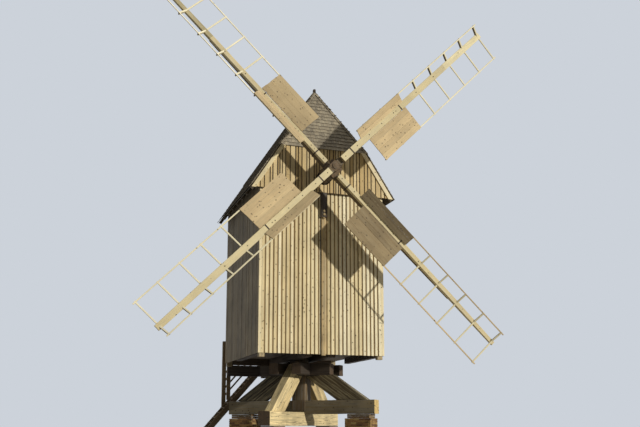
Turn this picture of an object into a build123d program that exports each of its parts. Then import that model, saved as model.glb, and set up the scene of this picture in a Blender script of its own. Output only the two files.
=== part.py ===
"""Traditional post mill: a boarded timber buck turning on a post and trestle, with four lattice sails.

Millimetres, +Z up from the ground, the sails on the -Y side, +X to the right seen from the sails.
The origin is on the ground at the centre of the whole mill's footprint box; the post stands at post_y.
"""
import os
from math import atan2, cos, hypot, radians, sin, tan

from build123d import *

os.makedirs("parts", exist_ok=True)

# Placing
post_y = 328.1              # from the origin to the axis of the post
trestle_turn = -42.5        # turn of the upper cross-tree from the X axis, degrees

# Trestle
cross_len = 6920.0
cross_wide = 540.0
cross_deep = 590.0
lower_top = 1680.0          # top of the lower cross-tree
cross_step = 500.0          # the upper cross-tree lies this much higher
pier_long = 1150.0
pier_wide = 860.0
pier_in = 120.0             # beam end beyond the pier
shim_high = 90.0            # each of two oak plates on a pier
shim_in = 80.0              # plates stand back from the pier's edge
post_square = 640.0
post_round = 300.0          # radius above the saddle
post_above = 3600.0         # round part of the post above the saddle
horn_thick = 45.0
horn_deep = 430.0
bar_wide = 340.0
bar_deep = 400.0
bar_foot = 3120.0           # outer quarter bar's foot from the post's axis
bar_head = 920.0            # outer quarter bar's top corner from the post's axis
saddle_beam = 420.0
saddle_high = 470.0
saddle_up = 1520.0          # saddle's top above the upper cross-tree
saddle_half = 1650.0

# Buck frame
turn_gap = 170.0            # between the saddle and the sheers that turn over it
body_half = 2700.0          # outside of the side boards from the middle
front_reach = 2870.0        # front boards from the post's axis
rear_reach = 3280.0         # rear boards from the post's axis
board = 50.0                # boards and battens together
hem_up = 250.0              # saddle's top to the lower edge of the boards
foot_drop = 150.0           # corner posts come this far below the boards
sill_drop = 50.0            # and the deep side sills this far
sill_past = 1150.0          # the deep sills end this far behind the post
sheer_wide = 300.0
sheer_x = 500.0
sheer_deep = 300.0
floor_thick = 60.0
floor_hole = 720.0
post_size = 240.0           # corner posts
crown_size = 500.0
crown_gap = 0.3             # running gap over the top of the post
girt_high = 290.0
girt_wide = 320.0
front_high = 6730.0         # front boards, up to the jettied gable
plate_size = 200.0
jetty_thick = 60.0

# Roof
eave_half = 3210.0
eave_drop = 40.0            # eaves below the gable's lower edge
roof_high = 4990.0
roof_thick = 90.0
gable_out = 155.0           # gable boards in front of the front wall
verge_out = 50.0            # verge in front of the gable boards
hip_up = 1920.0             # lower edge of the half hips above the eaves
hip_run = 1290.0            # from the verge to the ridge's end
barge_wide = 200.0
finial_high = 110.0
finial_size = 110.0

# Front trim
trim_x = 25.0
cover_wide = 180.0
cover_thick = 60.0
cover_hang = 50.0           # below the boards
pendant_wide = 260.0
pendant_high = 1040.0
pendant_back = 20.0         # face of the pendant post behind the gable boards' front

# Rear door, landing and stair
door_x = 400.0
door_wide = 950.0
door_high = 1950.0
frame_wide = 120.0
frame_proud = 20.0
leaf_thick = 60.0
landing_deep = 1150.0       # from the rear boards to the landing's edge
landing_left = -650.0
landing_right = 1350.0
landing_thick = 50.0
landing_slot = 25.0         # from the rear boards to the landing's boards, past the door frame
landing_beam = 140.0
beam_high = 500.0
hanger_x = -2480.0
hanger_size = 180.0
near_hang = 1090.0          # lower ends of the hanging posts below the landing beams
far_hang = 1680.0
near_up = 370.0             # and their upper ends above the landing
far_up = 880.0
rail_high = 1050.0
stair_foot = 150.0          # above the ground, so that the buck can turn
stair_slope = 49.0
stringer_deep = 240.0
stringer_thick = 60.0
tread_thick = 45.0
tread_wide = 220.0
tread_nose = 40.0           # tread in front of the one above
tread_count = 17
slat_deep = 75.0
slat_thick = 35.0
slat_step = 350.0
slat_count = 4

# Windshaft and sails
shaft_tilt = 3.35           # degrees, rising towards the sails
hub_up = 690.0              # hub centre above the gable's lower edge
hub_out = 1260.0            # hub centre in front of the front boards
shaft_r = 240.0
shaft_hole = 70.0           # open ring around the shaft in the gable
tail_r = 150.0
tail_past = 450.0           # journal beyond the tail beam's middle
tail_before = 400.0         # and before it
tail_back = 1900.0          # tail beam behind the post
tail_deep = 300.0
tail_notch = 110.0          # journal's depth in the beam
run_gap = 0.5               # between the shaft and its bearings
poll_size = 600.0
poll_front = 400.0
poll_back = 520.0
weather_deep = 420.0
weather_high = 380.0
weather_notch = 60.0        # shaft's depth in the beam
stock_apart = 208.0         # front stock's centre from the hub's, along the shaft
rear_apart = 268.0          # and the rear stock's, behind it
stock_deep = 280.0
stock_tip = 60.0
stock_past = 2900.0         # stock's end beyond the last boarded sail bar
front_wide = 280.0          # front stock and its whips
rear_wide = 200.0           # rear stock and its whips
sail_angle = 44.8
sail_reach = 9770.0
whip_start = 380.0
whip_deep = 160.0
whip_tip_deep = 100.0
lattice_out = (428.0, 12.0)     # front and rear lattice at the whip's middle line, along the shaft from the hub
weather = 7.5               # tilt of the lattice's wide side about the whip, degrees
lead_weather = 30.0         # and of its narrow side
bar_root = 20.0             # the two sides' bars overlap inside the whip
wide_side = 1220.0
narrow_side = 527.0
tip_past = 124.0            # whip beyond the outermost sail bar
bar_step = 1085.0
lath_wide = 45.0
lath_thick = 30.0
wide_start = 1950.0
narrow_start = 1600.0
panel_past = 80.0           # boards beyond the middle of their last sail bar
panel_thick = 28.0
panel_gap = 10.0            # between boards and straps
strap_in = 950.0            # inner straps from the hub
strap_before = 170.0        # outer straps before the last boarded sail bar
strap_wide = 70.0
strap_thick = 8.0
strap_gap = 1.0

beyond = 500.0              # cutting shapes reach this far past what they cut

# Levels and places that follow
upper_top = lower_top + cross_step
saddle_top = upper_top + saddle_up
saddle_low = saddle_top - saddle_high
post_top = saddle_top + post_above
sheer_low = saddle_top + turn_gap
floor_low = sheer_low + sheer_deep
floor_top = floor_low + floor_thick
hem = saddle_top + hem_up
jetty = hem + front_high                            # lower edge of the gable boards
eave_z = jetty - eave_drop
ridge_z = eave_z + roof_high
hip_z = eave_z + hip_up
hub_z = jetty + hub_up
crown_low = post_top + crown_gap
girt_top = crown_low + crown_size + girt_high
frame_top = floor_top + door_high + frame_wide

body_front = post_y - front_reach
body_rear = post_y + rear_reach
inner_half = body_half - board
inner_front = body_front + board
inner_rear = body_rear - board
sill_end = post_y + sill_past
gable_front = body_front - gable_out
verge_front = gable_front - verge_out
verge_rear = body_rear + verge_out
hub_y = body_front - hub_out
tail_y = post_y + tail_back

pitch = roof_high / eave_half                       # the roof's rise for each length across
roof_slope = atan2(roof_high, eave_half)
roof_flat = roof_thick / sin(roof_slope)            # roof thickness measured level
roof_drop = roof_thick / cos(roof_slope)            # and measured upright
hip_rise = (ridge_z - hip_z) / hip_run
hip_level = roof_thick * hypot(1, hip_rise) / hip_rise      # half hip's thickness measured level

trestle_plane = Plane(origin=(0, post_y, 0), z_dir=(0, 0, 1),
                      x_dir=(cos(radians(trestle_turn)), sin(radians(trestle_turn)), 0))
tilt = radians(shaft_tilt)
sail_plane = Plane(origin=(0, hub_y, hub_z), x_dir=(1, 0, 0), z_dir=(0, -cos(tilt), sin(tilt)))


def save(part, name):
    part.part.label = name
    export_step(part.part, "parts/" + name + ".step")


def shaft_z(y):
    """Height of the windshaft's axis at a place along the mill."""
    return hub_z - (y - hub_y) * tan(tilt)


def roof_x(z):
    """Half width of the roof's outside at a height."""
    return (ridge_z - z) / pitch


def under_roof(x):
    """Height of the roof's underside at a distance from the middle."""
    return ridge_z - (x + roof_flat) * pitch


def box(x0, x1, y0, y1, z0, z1, mode=Mode.ADD):
    with Locations(((x0 + x1) / 2, (y0 + y1) / 2, (z0 + z1) / 2)):
        Box(x1 - x0, y1 - y0, z1 - z0, mode=mode)


def across(y):
    """Upright plane across the mill, X to the right and Y up, facing the sails."""
    return Plane(origin=(0, y, 0), x_dir=(1, 0, 0), z_dir=(0, -1, 0))


# Trestle
def turned(angle, up=0.0):
    """Level plane on the post's axis, turned from the upper cross-tree."""
    return Plane(origin=(0, post_y, up), x_dir=trestle_plane.x_dir.rotate(Axis.Z, angle), z_dir=(0, 0, 1))


pier_r = cross_len / 2 - pier_in - pier_long / 2
pier_places = [(90 * i, (upper_top, lower_top)[i % 2] - cross_deep - 2 * shim_high) for i in range(4)]

with BuildPart() as piers:
    for angle, top in pier_places:
        with BuildSketch(turned(angle)):
            with Locations((pier_r, 0)):
                Rectangle(pier_long, pier_wide)
        extrude(amount=top)
save(piers, "piers")

with BuildPart() as pier_plates:
    for angle, top in pier_places:
        with BuildSketch(turned(angle, top)):
            with Locations((pier_r, 0)):
                Rectangle(pier_long - 2 * shim_in, pier_wide - 2 * shim_in)
        extrude(amount=2 * shim_high)
save(pier_plates, "pier_plates")

halving = (upper_top - cross_deep + lower_top) / 2      # level where the cross-trees meet

with BuildPart() as lower_cross_tree:
    with BuildSketch(turned(90, lower_top - cross_deep)):
        Rectangle(cross_len, cross_wide)
    extrude(amount=cross_deep)
    with BuildSketch(turned(0, halving)):
        Rectangle(cross_wide, cross_wide)
    extrude(amount=cross_deep, mode=Mode.SUBTRACT)
save(lower_cross_tree, "lower_cross_tree")

with BuildPart() as upper_cross_tree:
    with BuildSketch(turned(0, upper_top - cross_deep)):
        Rectangle(cross_len, cross_wide)
    extrude(amount=cross_deep)
    with BuildSketch(turned(0, halving - cross_deep)):
        Rectangle(cross_wide, cross_wide)
    extrude(amount=cross_deep, mode=Mode.SUBTRACT)
save(upper_cross_tree, "upper_cross_tree")

horn_y = (cross_wide + horn_thick) / 2
with BuildPart() as main_post:
    with BuildSketch(turned(0, upper_top)):
        Rectangle(post_square, post_square)
    extrude(amount=saddle_top - upper_top)
    with BuildSketch(turned(0, saddle_top)):
        Circle(post_round)
    extrude(amount=post_above)
    with BuildSketch(turned(0, upper_top - horn_deep)):
        with Locations((0, horn_y), (0, -horn_y)):
            Rectangle(post_square, horn_thick)
    extrude(amount=horn_deep)
save(main_post, "main_post")

saddle_y = (post_square + saddle_beam) / 2
with BuildPart() as saddle:
    with BuildSketch(turned(0, saddle_low)):
        with Locations((0, saddle_y), (0, -saddle_y)):
            Rectangle(2 * saddle_half, saddle_beam)
        with Locations((saddle_y, 0), (-saddle_y, 0)):
            Rectangle(saddle_beam, 2 * saddle_half)
    extrude(amount=saddle_high)
save(saddle, "saddle")


def bar_outlines(foot_z):
    """Side outlines of an arm's outer and inner quarter bars, along the arm and up."""
    rise = (saddle_top - foot_z) / (bar_foot - bar_head)
    level = bar_deep * hypot(1, rise) / rise            # bar depth measured level
    stop = post_square / 2 + saddle_beam                # outer face of the saddle
    mid = bar_foot - level
    low = mid - level
    outer = [(bar_foot, foot_z), (mid, foot_z), (stop, foot_z + rise * (mid - stop)), (stop, saddle_top),
             (bar_head, saddle_top)]
    inner = [(mid, foot_z), (low, foot_z), (post_square / 2, foot_z + rise * (low - post_square / 2)),
             (post_square / 2, saddle_low), (mid - (saddle_low - foot_z) / rise, saddle_low)]
    return outer, inner


def quarter_bars(which):
    with BuildPart() as bars:
        for index in range(4):
            foot_z = (upper_top, lower_top)[index % 2]
            flat = turned(90 * index)
            with BuildSketch(Plane(origin=flat.origin, x_dir=flat.x_dir, z_dir=-flat.y_dir)):
                Polygon(*bar_outlines(foot_z)[which], align=None)
            extrude(amount=bar_wide / 2, both=True)
    return bars


save(quarter_bars(0), "outer_quarter_bars")
save(quarter_bars(1), "inner_quarter_bars")

# Buck frame
with BuildPart() as sheers:
    for x in (-sheer_x, sheer_x):
        box(x - sheer_wide / 2, x + sheer_wide / 2, inner_front + post_size, body_rear + landing_deep,
            sheer_low, floor_low)
save(sheers, "sheers")

post_xs = (-inner_half, inner_half - post_size)
post_ys = (inner_front, inner_rear - post_size)
plate_top = under_roof(inner_half)

with BuildPart() as corner_posts:
    for x in post_xs:
        for y in post_ys:
            box(x, x + post_size, y, y + post_size, hem - foot_drop, plate_top - plate_size)
save(corner_posts, "corner_posts")

with BuildPart() as sills:
    for x in post_xs:
        box(x, x + post_size, inner_front + post_size, sill_end, hem - sill_drop, floor_low)
    side = inner_half - post_size
    past = sheer_x + sheer_wide / 2
    near = sheer_x - sheer_wide / 2
    for x0, x1 in ((-side, -past), (-near, near), (past, side)):
        box(x0, x1, inner_rear - post_size, inner_rear, sheer_low, floor_low)
save(sills, "sills")

with BuildPart() as floor:
    box(-inner_half, inner_half, inner_front, inner_rear, floor_low, floor_top)
    half = floor_hole / 2
    box(-half, half, post_y - half, post_y + half, floor_low, floor_top, Mode.SUBTRACT)
    for x in post_xs:
        for y in post_ys:
            box(x, x + post_size, y, y + post_size, floor_low, floor_top, Mode.SUBTRACT)
save(floor, "floor")

with BuildPart() as crown_tree:
    box(-inner_half, inner_half, post_y - crown_size / 2, post_y + crown_size / 2, crown_low,
        crown_low + crown_size)
save(crown_tree, "crown_tree")

tail_low = shaft_z(tail_y) - tail_r - tail_deep + tail_notch
tail_half = inner_half - plate_size                 # the tail beam fits between the wall plates
with BuildPart() as side_girts:
    for x, stud_x in ((-inner_half, -tail_half), (inner_half - girt_wide, inner_half - girt_wide)):
        box(x, x + girt_wide, inner_front + post_size, inner_rear - post_size, girt_top - girt_high, girt_top)
        box(stud_x, stud_x + girt_wide - plate_size, tail_y - tail_deep / 2, tail_y + tail_deep / 2, girt_top,
            tail_low)
save(side_girts, "side_girts")

with BuildPart() as wall_plates:
    for x in (-inner_half, inner_half - plate_size):
        box(x, x + plate_size, inner_front, inner_rear, plate_top - plate_size, plate_top)
save(wall_plates, "wall_plates")

# Walls
with BuildPart() as front_wall:
    box(-body_half, body_half, body_front, inner_front, hem, jetty)
save(front_wall, "front_wall")

with BuildPart() as left_wall:
    box(-body_half, -inner_half, inner_front, inner_rear, hem, under_roof(body_half))
save(left_wall, "left_wall")

with BuildPart() as right_wall:
    box(inner_half, body_half, inner_front, inner_rear, hem, under_roof(body_half))
    box(inner_half, body_half, sill_end, inner_rear, hem, floor_low, Mode.SUBTRACT)
save(right_wall, "right_wall")

hip_half = roof_x(hip_z) - roof_flat                # gables' half width under the half hips

with BuildPart() as rear_wall:
    with BuildSketch(across(body_rear)):
        Polygon((-body_half, floor_low), (body_half, floor_low), (body_half, under_roof(body_half)),
                (hip_half, hip_z), (-hip_half, hip_z), (-body_half, under_roof(body_half)), align=None)
        with Locations((door_x, (floor_low + frame_top) / 2)):
            Rectangle(door_wide + 2 * frame_wide, frame_top - floor_low, mode=Mode.SUBTRACT)
    extrude(amount=board)
save(rear_wall, "rear_wall")

with BuildPart() as front_gable:
    with BuildSketch(across(gable_front + board)):
        low_half = roof_x(jetty) - roof_flat
        Polygon((-low_half, jetty), (low_half, jetty), (hip_half, hip_z), (-hip_half, hip_z), align=None)
    extrude(amount=board)
    with BuildSketch(sail_plane.offset(-hub_out - beyond)):
        Circle(shaft_r + shaft_hole)
    extrude(amount=hub_out + beyond, mode=Mode.SUBTRACT)
save(front_gable, "front_gable")

with BuildPart() as jetty_beam:
    box(-inner_half, inner_half, gable_front + board, body_front, jetty, jetty + jetty_thick)
save(jetty_beam, "jetty_beam")

with BuildPart() as weather_beam:
    z = shaft_z(inner_front + weather_deep / 2) - shaft_r + weather_notch
    box(post_size - inner_half, inner_half - post_size, inner_front, inner_front + weather_deep,
        z - weather_high, z)
    with BuildSketch(sail_plane.offset(-hub_out - weather_deep - beyond)):
        Circle(shaft_r + run_gap)
    extrude(amount=weather_deep + 2 * beyond, mode=Mode.SUBTRACT)
save(weather_beam, "weather_beam")

with BuildPart() as tail_beam:
    half = tail_deep / 2
    box(-tail_half, tail_half, tail_y - half, tail_y + half, tail_low, tail_low + tail_deep)
    with BuildSketch(sail_plane.offset(-(tail_y - hub_y) / cos(tilt) - beyond)):
        Circle(tail_r + run_gap)
    extrude(amount=2 * beyond, mode=Mode.SUBTRACT)
save(tail_beam, "tail_beam")


# Roof
def roof_side(side):
    with BuildPart() as panel:
        with BuildSketch(across(verge_front)):
            Polygon((side * eave_half, eave_z), (0, ridge_z), (0, ridge_z - roof_drop),
                    (side * (eave_half - roof_flat), eave_z), align=None)
        extrude(amount=verge_front - verge_rear)
        for verge, inward in ((verge_front, 1), (verge_rear, -1)):
            far = verge - inward * beyond
            top = ridge_z + beyond
            with BuildSketch(Plane.YZ):
                Polygon((far, hip_z), (verge + inward * hip_level, hip_z),
                        (verge + inward * (hip_level + (top - hip_z) / hip_rise), top), (far, top), align=None)
            extrude(amount=eave_half, both=True, mode=Mode.SUBTRACT)
    return panel


save(roof_side(-1), "roof_left")
save(roof_side(1), "roof_right")


def half_hip(verge, inward):
    """Sloping panel from the verge to the ridge's end, cut to the roof's two slopes."""
    with BuildPart() as panel:
        with BuildSketch(Plane.YZ):
            Polygon((verge, hip_z), (verge + inward * hip_level, hip_z),
                    (verge + inward * (hip_level + hip_run), ridge_z), (verge + inward * hip_run, ridge_z),
                    align=None)
        extrude(amount=eave_half, both=True)
        with BuildSketch(across(post_y)):
            Polygon((-eave_half, eave_z), (eave_half, eave_z), (0, ridge_z), align=None)
        extrude(amount=front_reach + rear_reach, both=True, mode=Mode.INTERSECT)
    return panel


save(half_hip(verge_front, 1), "front_half_hip")
save(half_hip(verge_rear, -1), "rear_half_hip")

with BuildPart() as barge_boards:
    with BuildSketch(across(gable_front)):
        for side in (-1, 1):
            foot_half = roof_x(eave_z) - roof_flat
            w = barge_wide / sin(roof_slope)
            Polygon((side * foot_half, eave_z), (side * hip_half, hip_z), (side * (hip_half - w), hip_z),
                    (side * (foot_half - w), eave_z), align=None)
    extrude(amount=verge_out)
save(barge_boards, "barge_boards")

with BuildPart() as finial:
    with BuildSketch(across(verge_front + hip_run + finial_size)):
        half = finial_size / 2
        Polygon((-half, ridge_z - half * pitch), (0, ridge_z), (half, ridge_z - half * pitch),
                (half, ridge_z + finial_high), (-half, ridge_z + finial_high), align=None)
    extrude(amount=finial_size)
save(finial, "finial")

# Front trim
with BuildPart() as cover_board:
    box(trim_x - cover_wide / 2, trim_x + cover_wide / 2, body_front - cover_thick, body_front, hem - cover_hang,
        jetty - pendant_high)
save(cover_board, "cover_board")

with BuildPart() as pendant_post:
    box(trim_x - pendant_wide / 2, trim_x + pendant_wide / 2, gable_front + pendant_back, body_front,
        jetty - pendant_high, jetty)
save(pendant_post, "pendant_post")

# Rear door
with BuildPart() as door_frame:
    with BuildSketch(across(body_rear + frame_proud)):
        with Locations((door_x, (floor_low + frame_top) / 2)):
            Rectangle(door_wide + 2 * frame_wide, frame_top - floor_low)
        with Locations((door_x, floor_top + door_high / 2)):
            Rectangle(door_wide, door_high, mode=Mode.SUBTRACT)
    extrude(amount=board + frame_proud)
save(door_frame, "door_frame")

with BuildPart() as door_leaf:
    box(door_x - door_wide / 2, door_x + door_wide / 2, inner_rear, inner_rear + leaf_thick, floor_top,
        floor_top + door_high)
save(door_leaf, "door_leaf")

# Landing
beam_low = sheer_low - beam_high
near_y = body_rear + landing_beam / 2
far_y = body_rear + landing_deep - landing_beam / 2
landing_top = floor_low + landing_thick
half = hanger_size / 2

with BuildPart() as landing_beams:
    for y, left in ((near_y, hanger_x - half), (far_y, landing_left)):
        box(left, landing_right, y - landing_beam / 2, y + landing_beam / 2, beam_low, sheer_low)
    box(landing_right - landing_beam, landing_right, body_rear, body_rear + landing_deep, sheer_low, floor_low)
save(landing_beams, "landing_beams")

with BuildPart() as landing_floor:
    box(landing_left, landing_right, body_rear + landing_slot, body_rear + landing_deep, floor_low, landing_top)
save(landing_floor, "landing_floor")

post_line = body_rear + landing_deep + half
near_post = near_y + landing_beam / 2               # front face of the near hanging post
with BuildPart() as landing_posts:
    box(hanger_x - half, hanger_x + half, post_line - half, post_line + half, beam_low - far_hang,
        landing_top + far_up)
    for x in (landing_left, landing_right - hanger_size):
        box(x, x + hanger_size, post_line - half, post_line + half, beam_low, landing_top + rail_high)
    box(hanger_x - half, hanger_x + half, near_post, near_post + half, beam_low - near_hang, landing_top + near_up)
save(landing_posts, "landing_posts")

# Stair
slope = radians(stair_slope)
run = (landing_top - stair_foot) / tan(slope)


def slanted(y, thick, up, deep, start_x, end_x):
    """Board along the stair, its middle a height above the line from the landing's edge to the foot."""
    half_up = deep / cos(slope) / 2
    z0 = landing_top - (landing_left - start_x) * tan(slope) + up
    z1 = landing_top - (landing_left - end_x) * tan(slope) + up
    with BuildSketch(across(y + thick / 2)) as outline:
        Polygon((start_x, z0 - half_up), (end_x, z1 - half_up), (end_x, z1 + half_up), (start_x, z0 + half_up),
                align=None)
    extrude(outline.sketch, amount=thick)


stringer_ys = (near_post + half + stringer_thick / 2, post_line - half - stringer_thick / 2)
with BuildPart() as stringers:
    for y in stringer_ys:
        slanted(y, stringer_thick, -stringer_deep / cos(slope) / 2, stringer_deep, landing_left, landing_left - run)
        box(landing_left - run - beyond, landing_left, y - stringer_thick, y + stringer_thick, -beyond, stair_foot,
            Mode.SUBTRACT)
save(stringers, "stringers")

with BuildPart() as treads:
    rise = (landing_top - stair_foot) / (tread_count + 1)
    for step in range(tread_count):
        z = landing_top - rise * (step + 1)
        x = landing_left - (landing_top - z) / tan(slope) - tread_nose
        box(x, x + tread_wide, stringer_ys[0] + stringer_thick / 2, stringer_ys[1] - stringer_thick / 2,
            z - tread_thick, z)
save(treads, "treads")

with BuildPart() as rails:
    for step in range(slat_count):
        slanted(post_line, slat_thick, slat_step * (step + 1), slat_deep, landing_left, hanger_x + half)
    for up in (rail_high / 2, rail_high):
        z = landing_top + up
        box(landing_left + hanger_size, landing_right - hanger_size, post_line - slat_thick / 2,
            post_line + slat_thick / 2, z - slat_deep, z)
save(rails, "rails")


# Windshaft
def arm_plane(index, out=0.0):
    """Plane with X along an arm from the hub, Y across it and Z forward along the shaft."""
    angle = radians(sail_angle + 90 * index)
    r = sail_plane.x_dir * cos(angle) + sail_plane.y_dir * sin(angle)
    return Plane(origin=sail_plane.origin + sail_plane.z_dir * out, x_dir=r, z_dir=sail_plane.z_dir)


def arm_out(index):
    """Each stock's centre along the shaft: the first and third arms are the front stock."""
    return stock_apart if index % 2 == 0 else -rear_apart


def arm_wide(index):
    """Width of the stock and the whips on it."""
    return front_wide if index % 2 == 0 else rear_wide


def arm_side(index, out):
    """Plane with X along an arm and Y forward along the shaft."""
    flat = arm_plane(index, out)
    return Plane(origin=flat.origin, x_dir=flat.x_dir, z_dir=-flat.y_dir)


def lattice_plane(index, angle, up=0.0):
    """The arm's plane moved to the lattice's line in the whip and tilted about it by an angle."""
    flat = arm_plane(index, lattice_out[index % 2])
    w = radians(angle)
    tilted = Plane(origin=flat.origin, x_dir=flat.x_dir, z_dir=flat.z_dir * cos(w) - flat.y_dir * sin(w))
    return tilted.offset(up)


with BuildPart() as windshaft:
    length = (tail_y - hub_y) / cos(tilt)
    with BuildSketch(sail_plane.offset(-length - tail_past)):
        Circle(tail_r)
    extrude(amount=tail_past + tail_before)
    with BuildSketch(sail_plane.offset(-length + tail_before)):
        Circle(shaft_r)
    extrude(amount=length - tail_before - poll_back)
    with BuildSketch(arm_plane(0, -poll_back)):
        Rectangle(poll_size, poll_size)
    extrude(amount=poll_back + poll_front)
    for index in (0, 1):
        with BuildSketch(arm_plane(index, arm_out(index) - stock_deep / 2)):
            Rectangle(2 * poll_size, arm_wide(index))
        extrude(amount=stock_deep, mode=Mode.SUBTRACT)
save(windshaft, "windshaft")

# Sails
bar_last = sail_reach - tip_past                    # outermost sail bar
bar_count = int((bar_last - wide_start) / bar_step) + 1
bars = [bar_last - bar_step * i for i in range(bar_count)]
last_boarded = bars[-3]
lattice_sides = ((weather, -1, wide_side, wide_start), (lead_weather, 1, narrow_side, narrow_start))
panel_end = last_boarded + panel_past
stock_half = last_boarded + stock_past
strap_at = (strap_in, last_boarded - strap_before)

with BuildPart() as stocks:
    for index in (0, 1):
        f = stock_deep / 2
        b = stock_tip - f
        with BuildSketch(arm_side(index, arm_out(index))):
            Polygon((-stock_half, -b), (-poll_size / 2, -f), (poll_size / 2, -f), (stock_half, -b),
                    (stock_half, f), (-stock_half, f), align=None)
        extrude(amount=arm_wide(index) / 2, both=True)
save(stocks, "stocks")

with BuildPart() as lattices:
    for index in range(4):
        for angle, side, far, start in lattice_sides:
            with BuildSketch(lattice_plane(index, angle, -lath_thick / 2)):
                for r in bars:
                    with Locations((r, side * (far - bar_root) / 2)):
                        Rectangle(lath_wide, far + bar_root)
                with Locations(((start + sail_reach) / 2, side * far)):
                    Rectangle(sail_reach - start, lath_wide)
            extrude(amount=lath_thick)
save(lattices, "lattices")

with BuildPart() as whips:
    for index in range(4):
        with BuildSketch(arm_side(index, arm_out(index) + stock_deep / 2)):
            Polygon((whip_start, 0), (sail_reach, 0), (sail_reach, whip_tip_deep), (stock_half, whip_deep),
                    (whip_start, whip_deep), align=None)
        extrude(amount=arm_wide(index) / 2, both=True)
    add(lattices.part, mode=Mode.SUBTRACT)
save(whips, "whips")

with BuildPart() as sail_boards:
    for index in range(4):
        for angle, side, far, start in lattice_sides:
            edge = (arm_wide(index) / 2 + strap_gap + strap_thick + panel_gap) / cos(radians(angle))
            with BuildSketch(lattice_plane(index, angle, lath_thick / 2)):
                with Locations(((start + panel_end) / 2, side * (edge + far + lath_wide / 2) / 2)):
                    Rectangle(panel_end - start, far + lath_wide / 2 - edge)
            extrude(amount=panel_thick)
save(sail_boards, "sail_boards")

with BuildPart() as sail_straps:
    for index in range(4):
        for r in strap_at:
            inner_end = r - strap_wide / 2
            taper = (stock_deep - stock_tip) * (inner_end - poll_size / 2) / (stock_half - poll_size / 2)
            deep = stock_deep - taper + whip_deep + 2 * strap_gap
            mid = arm_out(index) - stock_deep / 2 + taper - strap_gap + deep / 2
            flat = arm_plane(index)
            face = Plane(origin=flat.origin + flat.x_dir * r, x_dir=flat.y_dir, z_dir=flat.x_dir)
            with BuildSketch(face.offset(-strap_wide / 2)):
                with Locations((0, mid)):
                    Rectangle(arm_wide(index) + 2 * strap_gap + 2 * strap_thick, deep + 2 * strap_thick)
                    Rectangle(arm_wide(index) + 2 * strap_gap, deep, mode=Mode.SUBTRACT)
            extrude(amount=strap_wide)
save(sail_straps, "sail_straps")
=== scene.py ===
from math import atan2, cos, hypot, pi, radians, sin, tan

import bpy
import numpy as np
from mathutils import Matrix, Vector


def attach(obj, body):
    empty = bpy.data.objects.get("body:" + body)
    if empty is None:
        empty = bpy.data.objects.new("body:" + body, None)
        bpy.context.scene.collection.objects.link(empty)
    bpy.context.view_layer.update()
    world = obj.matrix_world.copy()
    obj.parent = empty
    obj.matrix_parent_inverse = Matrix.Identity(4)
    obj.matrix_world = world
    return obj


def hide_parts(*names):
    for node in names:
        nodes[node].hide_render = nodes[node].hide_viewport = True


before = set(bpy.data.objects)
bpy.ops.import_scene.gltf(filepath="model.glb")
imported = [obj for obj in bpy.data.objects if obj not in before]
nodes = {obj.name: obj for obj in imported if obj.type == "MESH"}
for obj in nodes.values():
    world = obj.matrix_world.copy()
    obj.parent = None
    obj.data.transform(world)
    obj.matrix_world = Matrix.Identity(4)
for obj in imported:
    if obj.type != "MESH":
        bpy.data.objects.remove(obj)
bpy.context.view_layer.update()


# The studio: a plain pale floor, a low key lamp from the front right, soft ones from behind and above, a fill.
# The camera stands at eye height in front of the mill and a little to its left, and looks up past it.
def linear(code):
    """Linear colour of an sRGB hex code: c / 12.92 up to 0.04045, otherwise ((c + 0.055) / 1.055) ^ 2.4."""
    value = np.array([int(code[i:i + 2], 16) for i in (1, 3, 5)]) / 255
    value = np.where(value <= 0.04045, value / 12.92, ((value + 0.055) / 1.055) ** 2.4)
    return (*(float(v) for v in value), 1.0)


def plug(tree, node, inputs):
    """Fills a node's inputs; each is a value, a socket, or a node whose first live output is used."""
    for key, value in inputs.items():
        if isinstance(value, bpy.types.Node):
            value = next(socket for socket in value.outputs if socket.enabled)
        if isinstance(value, bpy.types.NodeSocket):
            tree.links.new(value, node.inputs[key])
        else:
            node.inputs[key].default_value = value


def add(tree, kind, inputs=None, ramp=(), **settings):
    """Adds a node with its settings and inputs; a colour ramp's stops are pairs of a place and a hex code."""
    node = tree.nodes.new("ShaderNode" + kind)
    for key, value in settings.items():
        setattr(node, key, value)
    if ramp:
        stops = node.color_ramp.elements
        for place, _ in ramp[1:-1]:
            stops.new(place)
        for stop, (place, code) in zip(stops, ramp):
            stop.position, stop.color = place, linear(code)
    plug(tree, node, inputs or {})
    return node


def new_material(name):
    """A material with its node tree and its shader."""
    material = bpy.data.materials.new(name)
    material.use_nodes = True
    return material, material.node_tree, material.node_tree.nodes["Principled BSDF"]


def new_object(name, data):
    """An object of the given data in the scene."""
    thing = bpy.data.objects.new(name, data)
    bpy.context.scene.collection.objects.link(thing)
    return thing


camera_data = bpy.data.cameras.new("Camera")
camera_data.lens = 45.99
camera_data.sensor_width = 36.0
camera_data.shift_y = 0.110
camera_data.clip_end = 400.0
camera = new_object("Camera", camera_data)
camera.location = (-10.629, -33.850, 1.13)
heading, pitch_up = 0.324, 0.171
camera.rotation_euler = Vector((sin(heading) * cos(pitch_up), cos(heading) * cos(pitch_up),
                                sin(pitch_up))).to_track_quat("-Z", "Y").to_euler()
bpy.context.scene.camera = camera
bpy.context.scene.view_settings.view_transform = "Standard"

for title, side, up, strength, spread in (("Key", 38, 14.5, 3.15, 2.0), ("Rear fill", 150, 38, 1.4, 60),
                                         ("Top fill", 0, 89, 0.75, 50)):
    side, up = radians(side), radians(up)
    lamp_data = bpy.data.lights.new(title, "SUN")
    lamp_data.energy = strength
    lamp_data.color = linear("#fffbf4")[:3]
    lamp_data.angle = radians(spread)
    from_lamp = Vector((sin(side) * cos(up), -cos(side) * cos(up), sin(up)))
    new_object(title, lamp_data).rotation_euler = from_lamp.to_track_quat("Z", "Y").to_euler()

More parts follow.
